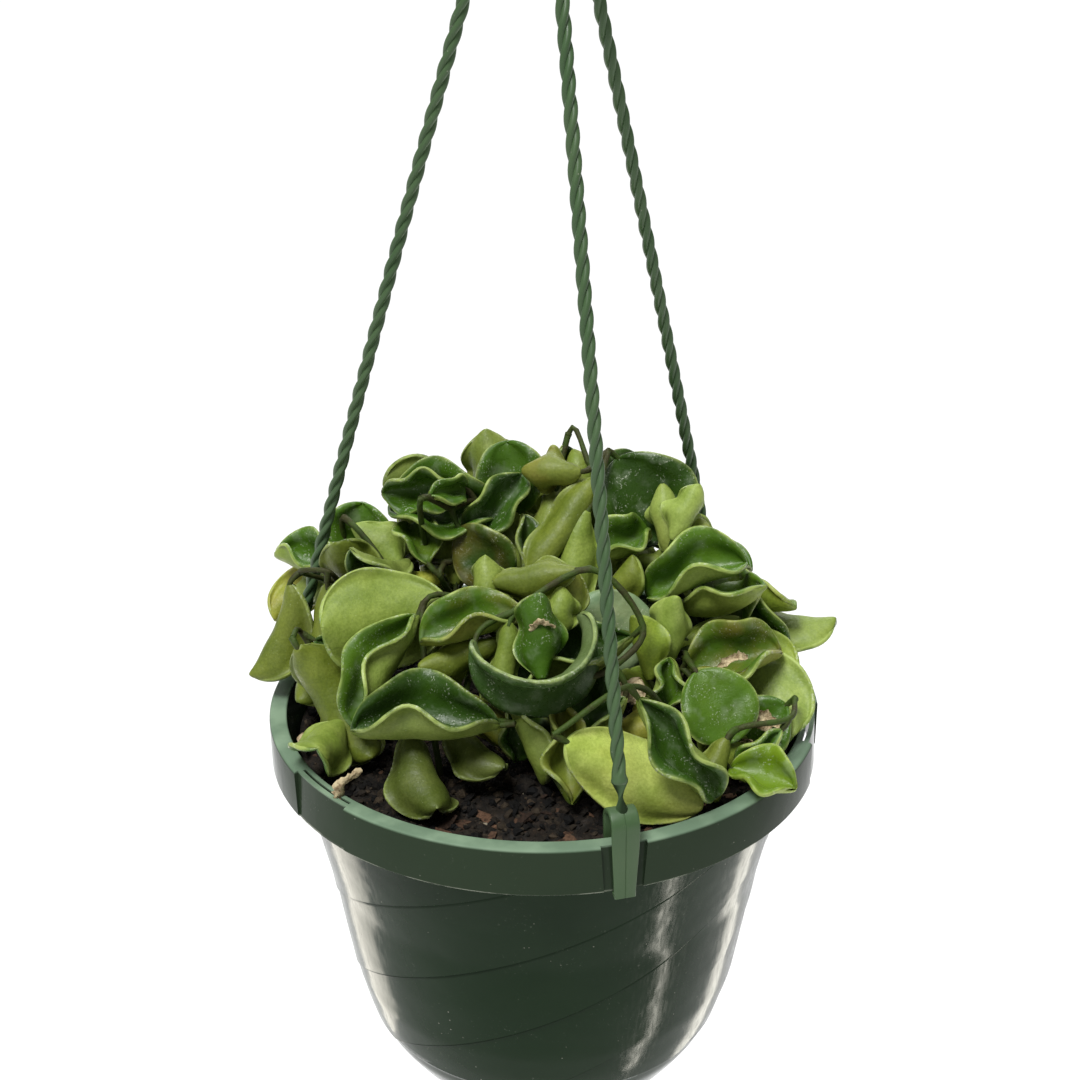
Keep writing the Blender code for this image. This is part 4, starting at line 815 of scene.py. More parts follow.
    def push_from_pot(self, points: np.ndarray, push: dict[str, np.ndarray]) -> None:
        """Keep every point over the soil, off the rim and the wall, and clear of the strands."""
        flat = points.reshape(-1, 3)
        who = np.repeat(np.arange(len(points)), points.shape[1])
        radius = np.hypot(flat[:, 0], flat[:, 1]) + 1e-6
        outward = np.stack((flat[:, 0], flat[:, 1], 0 * radius), axis=1) / radius[:, None]
        upward = np.tile((0.0, 0.0, 1.0), (len(flat), 1))
        clear = 1.7
        soil = SOIL_EDGE[1] - RIM_HEIGHT + SOIL_MOUND * (1 - (radius / SOIL_EDGE[0]) ** 2) + clear + 0.8
        self.obey(push, who, flat, upward, soil - flat[:, 2], radius < FLANGE_INNER)
        low = (flat[:, 2] < clear) & (radius < 0.5 * (FLANGE_INNER + RIM_RADIUS))
        wall = FLANGE_INNER + 0.237 * np.minimum(flat[:, 2], 0) - clear
        self.obey(push, who, flat, -outward, radius - wall, low)
        over = (radius > FLANGE_INNER - clear) & (radius < RIM_RADIUS + clear) & (flat[:, 2] > -6)
        self.obey(push, who, flat, upward, clear - flat[:, 2], over)
        for azimuth in CLIP_AZIMUTHS:
            foot, top = strand_point(azimuth, -16.0), strand_point(azimuth, 120.0)
            axis = (top - foot) / np.linalg.norm(top - foot)
            arm = flat - foot
            across = arm - (arm @ axis)[:, None] * axis
            gap = np.linalg.norm(across, axis=1) + 1e-6
            reach = np.where(flat[:, 2] < 14, 6.6, 4.8)
            self.obey(push, who, flat, across / gap[:, None], reach - gap, gap < reach)

    def obey(self, push: dict[str, np.ndarray], who: np.ndarray, where: np.ndarray, direction: np.ndarray,
             depth: np.ndarray, mask: np.ndarray) -> None:
        """Record the pushes of one obstacle on the points that it reaches."""
        hit = mask & (depth > 0)
        self.record(push, who[hit], where[hit], direction[hit], np.minimum(depth[hit], 3.0) * 2)

    def step(self, scale: float, homing: float) -> None:
        """Move and turn each leaf once by what its neighbours, the pot and its own first place ask."""
        blade = self.placed(self.samples, scale)
        base = self.placed(self.grids[:, :1, BLADE_HALF], scale)[:, 0]
        stems = self.stem_samples(self.joints(scale), base)
        points = np.concatenate((blade, stems), axis=1)
        count = len(self.leaves)
        push = {"move": np.zeros((count, 3)), "turn": np.zeros((count, 3)),
                "weight": np.full(count, 1e-6), "depth": np.zeros(count)}
        self.push_apart(points, push)
        self.push_from_pot(points[:, :blade.shape[1] + STALK_SAMPLES], push)
        amount = self.GIVE * push["depth"] / push["weight"]
        move = push["move"] * amount[:, None]
        length = np.linalg.norm(move, axis=1) + 1e-9
        move *= (np.minimum(length, self.MOVE_LIMIT) / length)[:, None]
        self.centre += move + (self.home - self.centre) * homing
        strayed = self.centre - self.home
        length = np.linalg.norm(strayed, axis=1) + 1e-9
        self.centre = self.home + strayed * (np.minimum(length, self.LEASH) / length)[:, None]
        spin = push["turn"] * (amount / (self.size ** 2) * 1.6)[:, None]
        angle = np.linalg.norm(spin, axis=1) + 1e-9
        limit = np.minimum(angle, self.TURN_LIMIT) / angle
        self.axes = turned_axes(self.axes, spin * limit[:, None])

    def settle(self) -> np.ndarray:
        """Grow the leaves and let them find room.

        Returns:
            Where each stalk meets its stem, from the rim's centre.
        """
        for i in range(self.STEPS + self.FREE_STEPS):
            grown = min(1.0, (i + 1) / (self.STEPS * self.GROWN_AT))
            size = self.SEEDLING + (1 - self.SEEDLING) * grown
            self.step(size, self.HOME if i < self.STEPS else 0.0)
            if i >= self.STEPS and self.tightest > self.CLEAR:
                break
        self.centre = np.round(self.centre, 2)
        return self.joints()

    def fine_blade(self, index: int, rows: int, half: int) -> tuple[np.ndarray, np.ndarray]:
        """A settled leaf's middle surface on a grid of any fineness, and its stalk's direction.

        Args:
            index: The leaf's number.
            rows: Number of steps along it.
            half: Number of steps from its midrib to its margin.

        Returns:
            The grid from the rim's centre, and the unit direction in which the blade leaves its stalk.
        """
        grid, stalk = self.leaves[index].blade(rows, half)
        local = (grid - self.middles[index]) @ self.axes[index].T
        return local + self.centre[index], self.axes[index] @ stalk


def turned_axes(axes: np.ndarray, spin: np.ndarray) -> np.ndarray:
    """Turn each matrix by its small rotation vector and square it up again."""
    cross = np.zeros_like(axes)
    cross[:, 0, 1], cross[:, 0, 2] = -spin[:, 2], spin[:, 1]
    cross[:, 1, 0], cross[:, 1, 2] = spin[:, 2], -spin[:, 0]
    cross[:, 2, 0], cross[:, 2, 1] = -spin[:, 1], spin[:, 0]
    out = axes + cross @ axes
    x = out[:, :, 0] / np.linalg.norm(out[:, :, 0], axis=1)[:, None]
    z = out[:, :, 2] - (out[:, :, 2] * x).sum(axis=1)[:, None] * x
    z /= np.linalg.norm(z, axis=1)[:, None]
    return np.stack((x, np.cross(z, x), z), axis=2)


@dataclass(frozen=True)
class LeafSkin:
    """Finish of a leaf: glossy dark upper side with dusty flecks, matt paler underside, thin pale margin."""

    name: str = "leaf_skin"
    upper_gloss: float = 0.33
    under_gloss: float = 0.46
    margin: Colour = (0.36, 0.45, 0.13)
    frost: Colour = (0.50, 0.54, 0.42)

    def underside(self, graph: Graph) -> bpy.types.NodeSocket:
        """The matt side's colour: clouded, pebbled, with dark pores and pale pinpricks in patches."""
        under = graph.stored("under", True)
        cloud = graph.between(graph.noise(9.0, 2.0), 0.32, 0.66)
        colour = graph.mixed(cloud, graph.mixed(1.0, under, (0.66, 0.72, 0.52), "MULTIPLY"), under)
        pebble = graph.between(graph.noise(0.75, 3.0, 0.6), 0.32, 0.68, 0.0, 0.75)
        colour = graph.mixed(pebble, graph.mixed(1.0, colour, (0.74, 0.77, 0.66), "MULTIPLY"), colour)
        pores = graph.between(graph.cells(1.15), 0.04, 0.15, 1.0, 0.0)
        patches = graph.between(graph.noise(6.0, 2.0), 0.44, 0.60)
        pores = graph.maths("MULTIPLY", graph.maths("MULTIPLY", pores, patches), 0.6)
        colour = graph.mixed(pores, colour, (0.045, 0.065, 0.014))
        pricks = graph.between(graph.noise(0.5, 3.0, 0.6), 0.63, 0.72)
        pricks = graph.maths("MULTIPLY", pricks, graph.between(graph.noise(5.0, 2.0), 0.5, 0.66, 0.06, 0.4))
        return graph.mixed(pricks, colour, (0.42, 0.46, 0.26))

    def upperside(self, graph: Graph) -> bpy.types.NodeSocket:
        """The glossy side's colour: clouded green with a faint bloom and clusters of frosty flecks."""
        upper = graph.stored("upper", True)
        colour = graph.mixed(graph.between(graph.noise(8.0, 2.0), 0.35, 0.7, 0.0, 0.5), upper,
                             graph.mixed(1.0, upper, (1.5, 1.35, 1.2), "MULTIPLY"))
        bloom = graph.between(graph.noise(5.0, 3.0), 0.52, 0.74, 0.0, 0.24)
        colour = graph.mixed(bloom, colour, (0.30, 0.36, 0.25))
        flecks = graph.between(graph.noise(0.62, 4.0, 0.62), 0.57, 0.67)
        where = graph.between(graph.noise(5.5, 4.0, 0.6), 0.47, 0.63)
        amount = graph.maths("MULTIPLY", graph.maths("MULTIPLY", flecks, where), 0.72)
        return graph.mixed(amount, colour, self.frost)

    def material(self) -> bpy.types.Material:
        """The finish as a material that reads each leaf's own colours and sides."""
        graph = Graph(self.name)
        side = graph.between(graph.stored("side"), 0.3, 0.7)
        colour = graph.mixed(side, self.underside(graph), self.upperside(graph))
        margin = graph.between(graph.stored("margin"), 0.45, 1.0)
        rim = graph.maths("MULTIPLY", margin, graph.between(graph.noise(5.0), 0.32, 0.66, 0.12, 0.85))
        colour = graph.mixed(rim, colour, graph.mixed(0.45, self.margin, graph.stored("under", True)))
        crust = graph.between(graph.noise(0.9, 4.0, 0.65), 0.50, 0.66, 0.0, 0.6)
        crust = graph.maths("MULTIPLY", crust, graph.between(graph.noise(8.0, 2.0), 0.45, 0.6))
        colour = graph.mixed(graph.maths("MULTIPLY", crust, margin), colour, self.frost)
        ageing = graph.maths("MULTIPLY", graph.stored("warm"), graph.between(graph.noise(11.0), 0.35, 0.7))
        colour = graph.mixed(ageing, colour, (0.30, 0.17, 0.035))
        gloss = graph.between(side, 0.0, 1.0, self.under_gloss, self.upper_gloss)
        fine = graph.between(graph.noise(1.6, 5.0, 0.65), 0.3, 0.7, -0.09, 0.12)
        graph.bumped(graph.noise(1.7, 5.0, 0.62), 0.24)
        return graph.done(colour, graph.maths("ADD", gloss, fine), Specular_IOR_Level=0.30)


@dataclass(frozen=True)
class StemBark:
    """Finish of stems and stalks: green where young, tan and corky where old."""

    name: str = "stem_bark"

    def material(self) -> bpy.types.Material:
        """The finish as a material."""
        graph = Graph(self.name)
        cork = graph.between(graph.noise(7.0, 4.0), 0.4, 0.62)
        colour = graph.mixed(cork, (0.036, 0.066, 0.008), (0.034, 0.034, 0.010))
        specks = graph.between(graph.noise(0.8, 4.0), 0.5, 0.72, 0.0, 0.2)
        colour = graph.mixed(specks, colour, (0.10, 0.10, 0.04))
        graph.bumped(graph.noise(0.7, 4.0), 0.25)
        return graph.done(colour, 0.62, Specular_IOR_Level=0.2)


@dataclass(frozen=True)
class DrySkin:
    """Finish of withered leaves: papery tan with darker veins."""

    name: str = "dry_skin"

    def material(self) -> bpy.types.Material:
        """The finish as a material."""
        graph = Graph(self.name)
        colour = graph.mixed(graph.between(graph.noise(1.6, 5.0, 0.65), 0.38, 0.66), (0.50, 0.41, 0.24),
                             (0.17, 0.11, 0.05))
        graph.bumped(graph.noise(0.7, 5.0), 0.4)
        return graph.done(colour, 0.7)


@dataclass
class Foliage:
    """The whole plant: for every vine its blades as one piece and its stem and stalks as another, both in
    place of its CAD node.
    """

    rows: int = 32
    half: int = 12
    thickness: float = 1.5
    edge: float = 1.15
    bead: float = 0.68
    stem_radii: tuple[float, float] = (1.0, 0.8)
    stalk_radius: float = 1.0
    seed: int = 11

    def blade_shell(self, grid: np.ndarray, one: Leaf, warm: float, shade: float) -> Shell:
        """A leaf with its thickness: underside, margin, upper side and margin as one closed loop a row.

        The upper and lower points stand off the middle surface by half the thickness, which falls towards
        the margin. The margin's points lie on a half circle, a little thicker than the blade beside it.

        Args:
            grid: The middle surface by row and column.
            one: The leaf, for its colours.
            warm: How far the leaf has turned yellow-brown, 0 to 1.
            shade: Factor on the leaf's brightness.

        Returns:
            The closed shell with the values side, margin, warm, upper and under.
        """
        rows, columns = grid.shape[:2]
        across, along = np.gradient(grid, axis=1), np.gradient(grid, axis=0)
        normal = np.cross(along, across)
        normal /= np.linalg.norm(normal, axis=2, keepdims=True) + 1e-9
        normal[[0, -1]] = normal[[1, -2]]
        out = np.abs(np.linspace(-1, 1, columns))
        half = 0.5 * (self.thickness + (self.edge - self.thickness) * out ** 3)
        half = half[None, :, None] * np.clip(np.linspace(0, rows - 1, rows) / 1.5, 0.45, 1)[:, None, None]
        dent = 0.16 * waves(grid, 7.0, 5)[..., None]
        upper, under = grid + normal * (half + dent), grid - normal * (half - dent)
        loops, sides, margins = [under], [np.zeros(columns)], [out ** 6 * 0.7]
        for edge, inner, order in ((-1, -2, (-50, 0, 50)), (0, 1, (50, 0, -50))):
            away = grid[:, edge] - grid[:, inner]
            away /= np.linalg.norm(away, axis=1, keepdims=True) + 1e-9
            away[[0, -1]] = away[[1, -2]]
            beads = [grid[:, edge] + self.bead * (away * math.cos(math.radians(a)) + normal[:, edge]
                     * math.sin(math.radians(a))) for a in order]
            loops.append(np.stack(beads, axis=1))
            sides.append(np.array([0.5 + a / 140 for a in order]))
            margins.append(np.ones(3))
            if edge == -1:
                loops.append(upper[:, ::-1])
                sides.append(np.ones(columns))
                margins.append(out ** 6 * 0.7)
        rings = np.concatenate(loops, axis=1)
        tip = grid[-1, self.half] - grid[-2, self.half]
        tip = grid[-1, self.half] + tip / np.linalg.norm(tip) * self.bead
        rings = np.concatenate((rings, np.tile(tip, (1, rings.shape[1], 1))))
        count = len(rings) * rings.shape[1]
        tone = np.array(one.tone.value) * shade
        values = {"side": np.tile(np.concatenate(sides), len(rings)),
                  "margin": np.maximum(np.tile(np.concatenate(margins), len(rings)),
                                       np.repeat(np.linspace(0, 1, len(rings)) ** 24, rings.shape[1])),
                  "warm": np.full(count, warm),
                  "upper": np.tile((*tone[0], 1.0), (count, 1)),
                  "under": np.tile((*tone[1], 1.0), (count, 1))}
        shell = capped(rings)
        return Shell(shell.points, shell.faces, values)

    def bark_shell(self, path: np.ndarray, radius: np.ndarray, sides: int) -> Shell:
        """A stem or a stalk along a path."""
        return tube(path, radius * (1 + 0.06 * waves(path, 3.0, 8)), sides)

    def stem_shells(self, foot: np.ndarray, joints: np.ndarray,
                    blades: list[tuple[np.ndarray, np.ndarray]]) -> Shell:
        """A vine's stem as a smooth tube through the soil hole and every joint, with its stalks.

        Args:
            foot: Where the stem leaves the soil.
            joints: Where the stalks meet the stem, from the root on.
            blades: Each leaf's middle surface and its stalk's direction.

        Returns:
            The stem and the stalks as one shell.
        """
        path = smooth_path(np.vstack((foot - (0, 0, 12.0), foot, joints)), 6)
        shells = [self.bark_shell(path, np.linspace(*self.stem_radii, len(path)), 12)]
        for joint, (grid, stalk) in zip(joints, blades):
            base = grid[0, self.half]
            bend = base - stalk * 0.4 * np.linalg.norm(base - joint)
            t = np.linspace(0, 1, 8)[:, None]
            curve = (1 - t) ** 2 * joint + 2 * t * (1 - t) * bend + t ** 2 * (base + stalk * 1.2)
            radius = np.linspace(self.stalk_radius * 1.1, self.stalk_radius * 0.72, len(curve))
            shells.append(self.bark_shell(curve, radius, 9))
        return joined(shells)

    def build(self) -> list[tuple[bpy.types.Object, str]]:
        """Make every vine's piece.

        Returns:
            Each piece with the name of the CAD node that it stands for.
        """
        vines = portrait_vines() + back_vines()
        thicket = Thicket(vines)
        joints = thicket.settle()
        draw = np.random.default_rng(self.seed)
        skin, bark = LeafSkin().material(), StemBark().material()
        pieces = []
        first = 0
        for vine in vines:
            last = first + len(vine.leaves)
            blades = [thicket.fine_blade(i, self.rows, self.half) for i in range(first, last)]
            shells = []
            for one, (grid, _) in zip(vine.leaves, blades):
                warm = draw.uniform(0.0, 0.35) * (draw.random() < 0.35)
                shells.append(self.blade_shell(grid, one, warm, draw.uniform(0.85, 1.15)))
            made = mesh_object(vine.name.replace("vine", "leaves"), joined(shells).lifted(), 60.0, 0.02)
            made.data.materials.append(skin)
            stem = mesh_object(vine.name.replace("vine", "stem"),
                               self.stem_shells(stem_foot(vine), joints[first:last], blades).lifted())
            stem.data.materials.append(bark)
            pieces += [(made, vine.name), (stem, vine.name)]
            first = last
        return pieces


@dataclass(frozen=True)
class MouldedPlastic:
    """Finish of the pot and its hanger: dyed plastic, faintly clouded and dusty, with wavy gloss.

    Above the given height, in millimetres, the surface is dull and pale: part dust, part a painted reflection
    of the bright sky on the flat top. The skirt that hangs from there is a little dusty, and a painted
    highlight runs along its lower edge.
    """

    name: str
    colour: Colour
    dusty: Colour
    gloss: float
    dust: float
    shine: float
    matt_dust_and_sheen_above: float = 1000.0

    def material(self) -> bpy.types.Material:
        """The finish as a material."""
        graph = Graph(self.name)
        cloud = graph.between(graph.noise(24.0, 3.0), 0.3, 0.7)
        colour = graph.mixed(graph.maths("MULTIPLY", cloud, 0.35), self.colour, self.dusty)
        dust = graph.between(graph.noise(1.1, 5.0, 0.7), 0.60, 0.72)
        patches = graph.between(graph.noise(14.0, 3.0), 0.45, 0.7)
        dust = graph.maths("MULTIPLY", graph.maths("MULTIPLY", dust, patches), self.dust)
        colour = graph.mixed(dust, colour, (0.16, 0.18, 0.14))
        grain = graph.cells(2.9)
        grains = graph.maths("MULTIPLY", graph.between(grain, 0.05, 0.085, 1.0, 0.0),
                             graph.between(graph.noise(12.0), 0.55, 0.62))
        colour = graph.mixed(graph.maths("MULTIPLY", grains, self.dust), colour, (0.52, 0.50, 0.42))
        split = graph.tree.nodes.new("ShaderNodeSeparateXYZ")
        graph.feed(split.inputs["Vector"], graph.place)
        height, low = split.outputs["Z"], self.matt_dust_and_sheen_above - SKIRT_HEIGHT + 0.1
        skirt = graph.between(height, low * MM, (low + 0.2) * MM)
        colour = graph.mixed(graph.maths("MULTIPLY", skirt, 0.42), colour, (0.042, 0.056, 0.036))
        # painted highlight: a pale line along the skirt's lower edge, where light catches it
        edge_highlight = graph.between(height, (low + 0.4) * MM, (low + 0.7) * MM, 1.0, 0.0)
        edge_highlight = graph.maths("MULTIPLY", edge_highlight, graph.between(graph.noise(9.0, 3.0), 0.42, 0.6, 0.1, 0.8))
        colour = graph.mixed(graph.maths("MULTIPLY", edge_highlight, skirt), colour, (0.26, 0.28, 0.22))
        # painted sky reflection: above the rim's top height the colour turns pale, part dust and part a
        # painted reflection of the bright sky on the flat top
        top = graph.between(height, (self.matt_dust_and_sheen_above - 0.7) * MM, self.matt_dust_and_sheen_above * MM, 0.0, 0.85)
        colour = graph.mixed(top, colour, graph.mixed(patches, (0.135, 0.205, 0.135), (0.215, 0.305, 0.205)))
        streaks = graph.noise(1.0, 3.0, 0.6, graph.stretched((1.0, 1.0, 0.06)))
        gloss = graph.between(streaks, 0.25, 0.8, self.gloss - 0.06, self.gloss + 0.12)
        gloss = graph.maths("ADD", gloss, graph.maths("MULTIPLY", dust, 0.5))
        gloss = graph.maths("MAXIMUM", gloss, graph.maths("MULTIPLY", top, 0.6))
        graph.bumped(graph.noise(17.0, 2.0), 0.22)
        return graph.done(colour, gloss, Specular_IOR_Level=self.shine)


POT_PLASTIC = MouldedPlastic("pot_plastic", (0.0060, 0.019, 0.0055), (0.012, 0.028, 0.011),
                             0.13, 0.45, 0.085, RIM_HEIGHT - 0.1)
STRAND_PLASTIC = MouldedPlastic("strand_plastic", (0.046, 0.090, 0.036), (0.085, 0.132, 0.062),
                                0.38, 0.3, 0.3)


def slot_shape(azimuth: float, half_top: float, half_bottom: float, inner_top: float, inner_bottom: float,
               outer: float, top: float, bottom: float) -> Shell:
    """A curved block about the pot's axis, whose half angle and inner radius may differ top and bottom.

    Args:
        azimuth: Its middle, in degrees from the front.
        half_top: Half its angle at the top.
        half_bottom: Half its angle at the bottom.
        inner_top: Inner radius at the top.
        inner_bottom: Inner radius at the bottom.
        outer: Outer radius.
        top: Height of its top over the pot's underside.
        bottom: Height of its bottom.

    Returns:
        The closed shell.
    """
    rings = []
    for part in np.linspace(-1, 1, 13):
        low, high = azimuth + part * half_bottom, azimuth + part * half_top
        rings.append([circle_point(low, inner_bottom, bottom), circle_point(low, outer, bottom),
                      circle_point(high, outer, top), circle_point(high, inner_top, top)])
    return capped(np.array(rings))


@dataclass
class Pot:
    """The pot: a double-walled rim on a tapered body whose wall is swirled in seven shallow steps."""

    foot: Outline = ((36.0, 0.0), (40.2, 2.0), (45.7, 8.0), (52.6, 18.0), (55.3, 23.8))
    side: Outline = ((56.1, 24.6), (57.8, 30.0), (60.4, 40.0), (63.7, 58.0), (66.9, 77.0), (70.7, 93.0),
                     (75.4, 112.0))
    inside: Outline = ((73.4, 112.0), (68.6, 93.0), (61.6, 58.0), (55.0, 27.0), (50.0, 17.0), (34.5, 2.0))
    swirls: int = 7
    swirl_steps: int = 36
    swirl_relief: float = 0.45
    swirl_degrees_per_mm: float = 1.8
    side_rows: int = 44

    def rim(self) -> list[tuple[float, float]]:
        """The rim's outline: under the flange, down and round the skirt, up its face and over the top."""
        top, low = RIM_HEIGHT, RIM_HEIGHT - SKIRT_HEIGHT
        turn = [math.radians(d) for d in (0, 22, 45, 68, 90)]
        outer = [(RIM_RADIUS - 0.9 + 0.9 * math.cos(a), top - 0.9 + 0.9 * math.sin(a)) for a in turn]
        inner = [(FLANGE_INNER + 0.6 - 0.6 * math.sin(a), top - 0.6 + 0.6 * math.cos(a)) for a in turn]
        under = [(78.6, top - 1.8), (80.3, top - 1.8), (80.3, low + 0.3), (80.6, low)]
        return under + [(RIM_RADIUS - 0.5, low), (RIM_RADIUS - 0.1, low + 0.4)] + outer + inner

    def shell(self) -> Shell:
        """The whole pot: the outline carried round, with the wall's radius stepped and sheared.

        On the wall the radius grows slowly along each of seven equal arcs and drops back at its end. The
        arcs shear with depth, so the drops make slanting lines. Every column is turned by the same shear,
        which keeps the steps sharp.

        Returns:
            The closed shell.
        """
        rise = np.linspace(0, 0.975, self.swirl_steps)
        parts = np.append(rise, 0.990)
        lift = np.append(rise / 0.975, -0.25)
        angle = ((np.arange(self.swirls)[:, None] + parts) / self.swirls).ravel() * 2 * math.pi
        teeth = np.tile(lift, self.swirls)
        radius, height = np.array(self.side).T
        rows = np.linspace(height[0], height[-1], self.side_rows + 1)
        wall = np.stack((np.interp(rows, height, radius), rows), axis=1)
        foot = smooth_path(np.array(self.foot), 5)
        outline = np.vstack((foot, wall, self.rim(), self.inside))
        swirled = np.zeros(len(outline))
        swirled[len(foot):len(foot) + len(wall) - 1] = self.swirl_relief
        drop = height[-1] - np.clip(outline[:, 1], height[0], height[-1])
        drop[len(foot) + len(wall):] = 0.0
        turn = angle[None] - np.radians(drop * self.swirl_degrees_per_mm)[:, None]
        reach = outline[:, :1] + swirled[:, None] * (teeth - 0.5)[None]
        rings = np.stack((reach * np.sin(turn), -reach * np.cos(turn), outline[:, 1:] + 0 * reach), axis=-1)
        return capped(rings)

    def build(self) -> bpy.types.Object:
        """Make the pot and cut its recesses, slits and drain holes."""
        pot = mesh_object("pot_shell", self.shell(), 32.0)
        top, low = RIM_HEIGHT + 1.0, RIM_HEIGHT - SKIRT_HEIGHT - 1.0
        tools = []
        for azimuth in CLIP_AZIMUTHS:
            tools.append(slot_shape(azimuth, 4.6, 3.8, 81.2, 81.9, RIM_RADIUS + 2, top, low))
        for azimuth in SLIT_AZIMUTHS:
            tools.append(slot_shape(azimuth, 8.6, 8.0, 81.2, 81.9, RIM_RADIUS + 2, top, low))
            tools.append(slot_shape(azimuth, 8.2, 8.2, 79.0, 79.0, 79.9, top, RIM_HEIGHT - 4.8))
        for i in range(6):
            hole = turned([(4.0, -1.0), (4.0, 3.0)], 32)
            tools.append(Shell(hole.points + circle_point(60.0 * i + 30.0, 24.0, 0.0), hole.faces))
        cut(pot, [mesh_object("tool", tool) for tool in tools])
        pot.data.materials.clear()
        pot.data.materials.append(POT_PLASTIC.material())
        pot.data.shade_smooth()
        pot.data.set_sharp_from_angle(angle=math.radians(24))
        return pot


@dataclass
class Strand:
    """One strand of the hanger: a clip over the rim, a neck, a three-ply twist, a plain top and a button."""

    name: str
    azimuth: float
    rope_start: float = 17.5
    rope_end: float = 224.0
    lobe: float = 6.5
    ply_radius: float = 1.02
    ply_offset: float = 0.94
    neck_radius: float = 2.1
    top_radius: float = 1.9
    hub_top: float = 237.0
    ring_points: int = 30
    arch: tuple[float, float] = (79.05, 5.05)
    arch_radii: tuple[float, float] = (4.55, 3.15)

    def rope(self) -> Shell:
        """The strand from the clip to the button.

        A section of the rope is three equal circles about the middle; its radius at an angle is the
        farthest of them, and the angle turns by a third of a circle for every lobe's height. Towards both
        ends the three circles swell into one round section.

        Returns:
            The closed shell.
        """
        top = self.hub_top
        plain = [(8.6, self.neck_radius), (self.rope_start - 1.4, self.neck_radius),
                 (self.rope_start - 1.1, self.neck_radius + 0.18),
                 (self.rope_start - 0.5, self.neck_radius + 0.18)]
        ends = [(self.rope_end + 1.5, self.top_radius), (top + 1.3, self.top_radius), (top + 1.5, 3.3),
                (top + 1.8, 3.6), (top + 3.6, 3.6), (top + 4.3, 3.2), (top + 4.8, 2.2), (top + 5.0, 1.0)]
        twisted = np.arange(self.rope_start, self.rope_end, 0.6)
        height = np.concatenate(([h for h, _ in plain], twisted, [h for h, _ in ends]))
        middle = np.array([strand_point(self.azimuth, h) for h in height])
        a = math.radians(self.azimuth)
        aside = np.array((math.cos(a), math.sin(a), 0.0))
        axis = strand_point(self.azimuth, 100.0) - strand_point(self.azimuth, 20.0)
        axis /= np.linalg.norm(axis)
        out = np.cross(aside, axis)
        turn = math.pi / 2 - (height - self.rope_start) / (self.lobe * abs(axis[2])) * (2 * math.pi / 3)
        angle = np.linspace(0, 2 * math.pi, self.ring_points, endpoint=False)[None] + turn[:, None]
        third = 2 * math.pi / 3
        off = np.mod(angle - turn[:, None] + third / 2, third) - third / 2
        o, c = self.ply_offset, self.ply_radius
        plied = o * np.cos(off) + np.sqrt(c ** 2 - (o * np.sin(off)) ** 2)
        plain_radius = np.concatenate(([r for _, r in plain], np.full(len(twisted), self.neck_radius),
                                       [r for _, r in ends]))[:, None]
        blend = np.clip(np.minimum(height - self.rope_start, self.rope_end - height) / 2.5, 0, 1)[:, None]
        radius = plain_radius * (1 - blend) + plied * blend
        circle = np.cos(angle)[..., None] * aside + np.sin(angle)[..., None] * out
        return capped(middle[:, None] + radius[..., None] * circle)

    def outline(self) -> np.ndarray:
        """The clip from the side as radius and height: hook, strap, arch over the rim and inner leg."""
        turn = [math.radians(d) for d in range(0, 181, 12)]
        x, z = self.arch
        far, near = self.arch_radii
        outer = [(x + far * math.cos(a), z + far * math.sin(a)) for a in turn]
        inner = [(x + near * math.cos(a), z + near * math.sin(a)) for a in turn[::-1]]
        low = -SKIRT_HEIGHT
        strap = [(x + far, low - 1.7 + (z - low + 1.7) * i / 8) for i in range(8)]
        return np.array([(80.9, low - 1.7), *strap, *outer, (74.5, -3.4), (75.9, -3.4), *inner,
                         (82.3, low - 0.3), (80.9, low - 0.3)])

    def clip(self) -> Shell:
        """The clip: its outline at places across its width, drawn in at both edges and at a shallow seam.

        Returns:
            The closed shell.
        """
        outline = self.outline()
        a = math.radians(self.azimuth)
        out = np.array((math.sin(a), -math.cos(a), 0.0))
        aside = np.array((math.cos(a), math.sin(a), 0.0))
        ahead = np.roll(outline, -1, 0) - np.roll(outline, 1, 0)
        inward = np.stack((-ahead[:, 1], ahead[:, 0]), axis=1) / np.linalg.norm(ahead, axis=1)[:, None]
        part = np.clip((outline[:, 1] + SKIRT_HEIGHT) / SKIRT_HEIGHT, 0, 1)
        half = 3.0 + 0.9 * part
        rings = []
        for place, depth in ((-1.0, 0.30), (-0.97, 0.10), (-0.9, 0.0), (-0.045, 0.0), (-0.015, 0.14),
                             (0.015, 0.14), (0.045, 0.0), (0.9, 0.0), (0.97, 0.10), (1.0, 0.30)):
            drawn = outline + inward * depth
            rings.append(out * drawn[:, :1] + aside * (half * place)[:, None] + drawn[:, 1:] * (0, 0, 1.0))
        return capped(np.array(rings))

    def build(self) -> bpy.types.Object:
        """Make the strand with its clip."""
        return mesh_object(self.name + "_twist", joined([self.rope().lifted(), self.clip().lifted()]), 42.0)


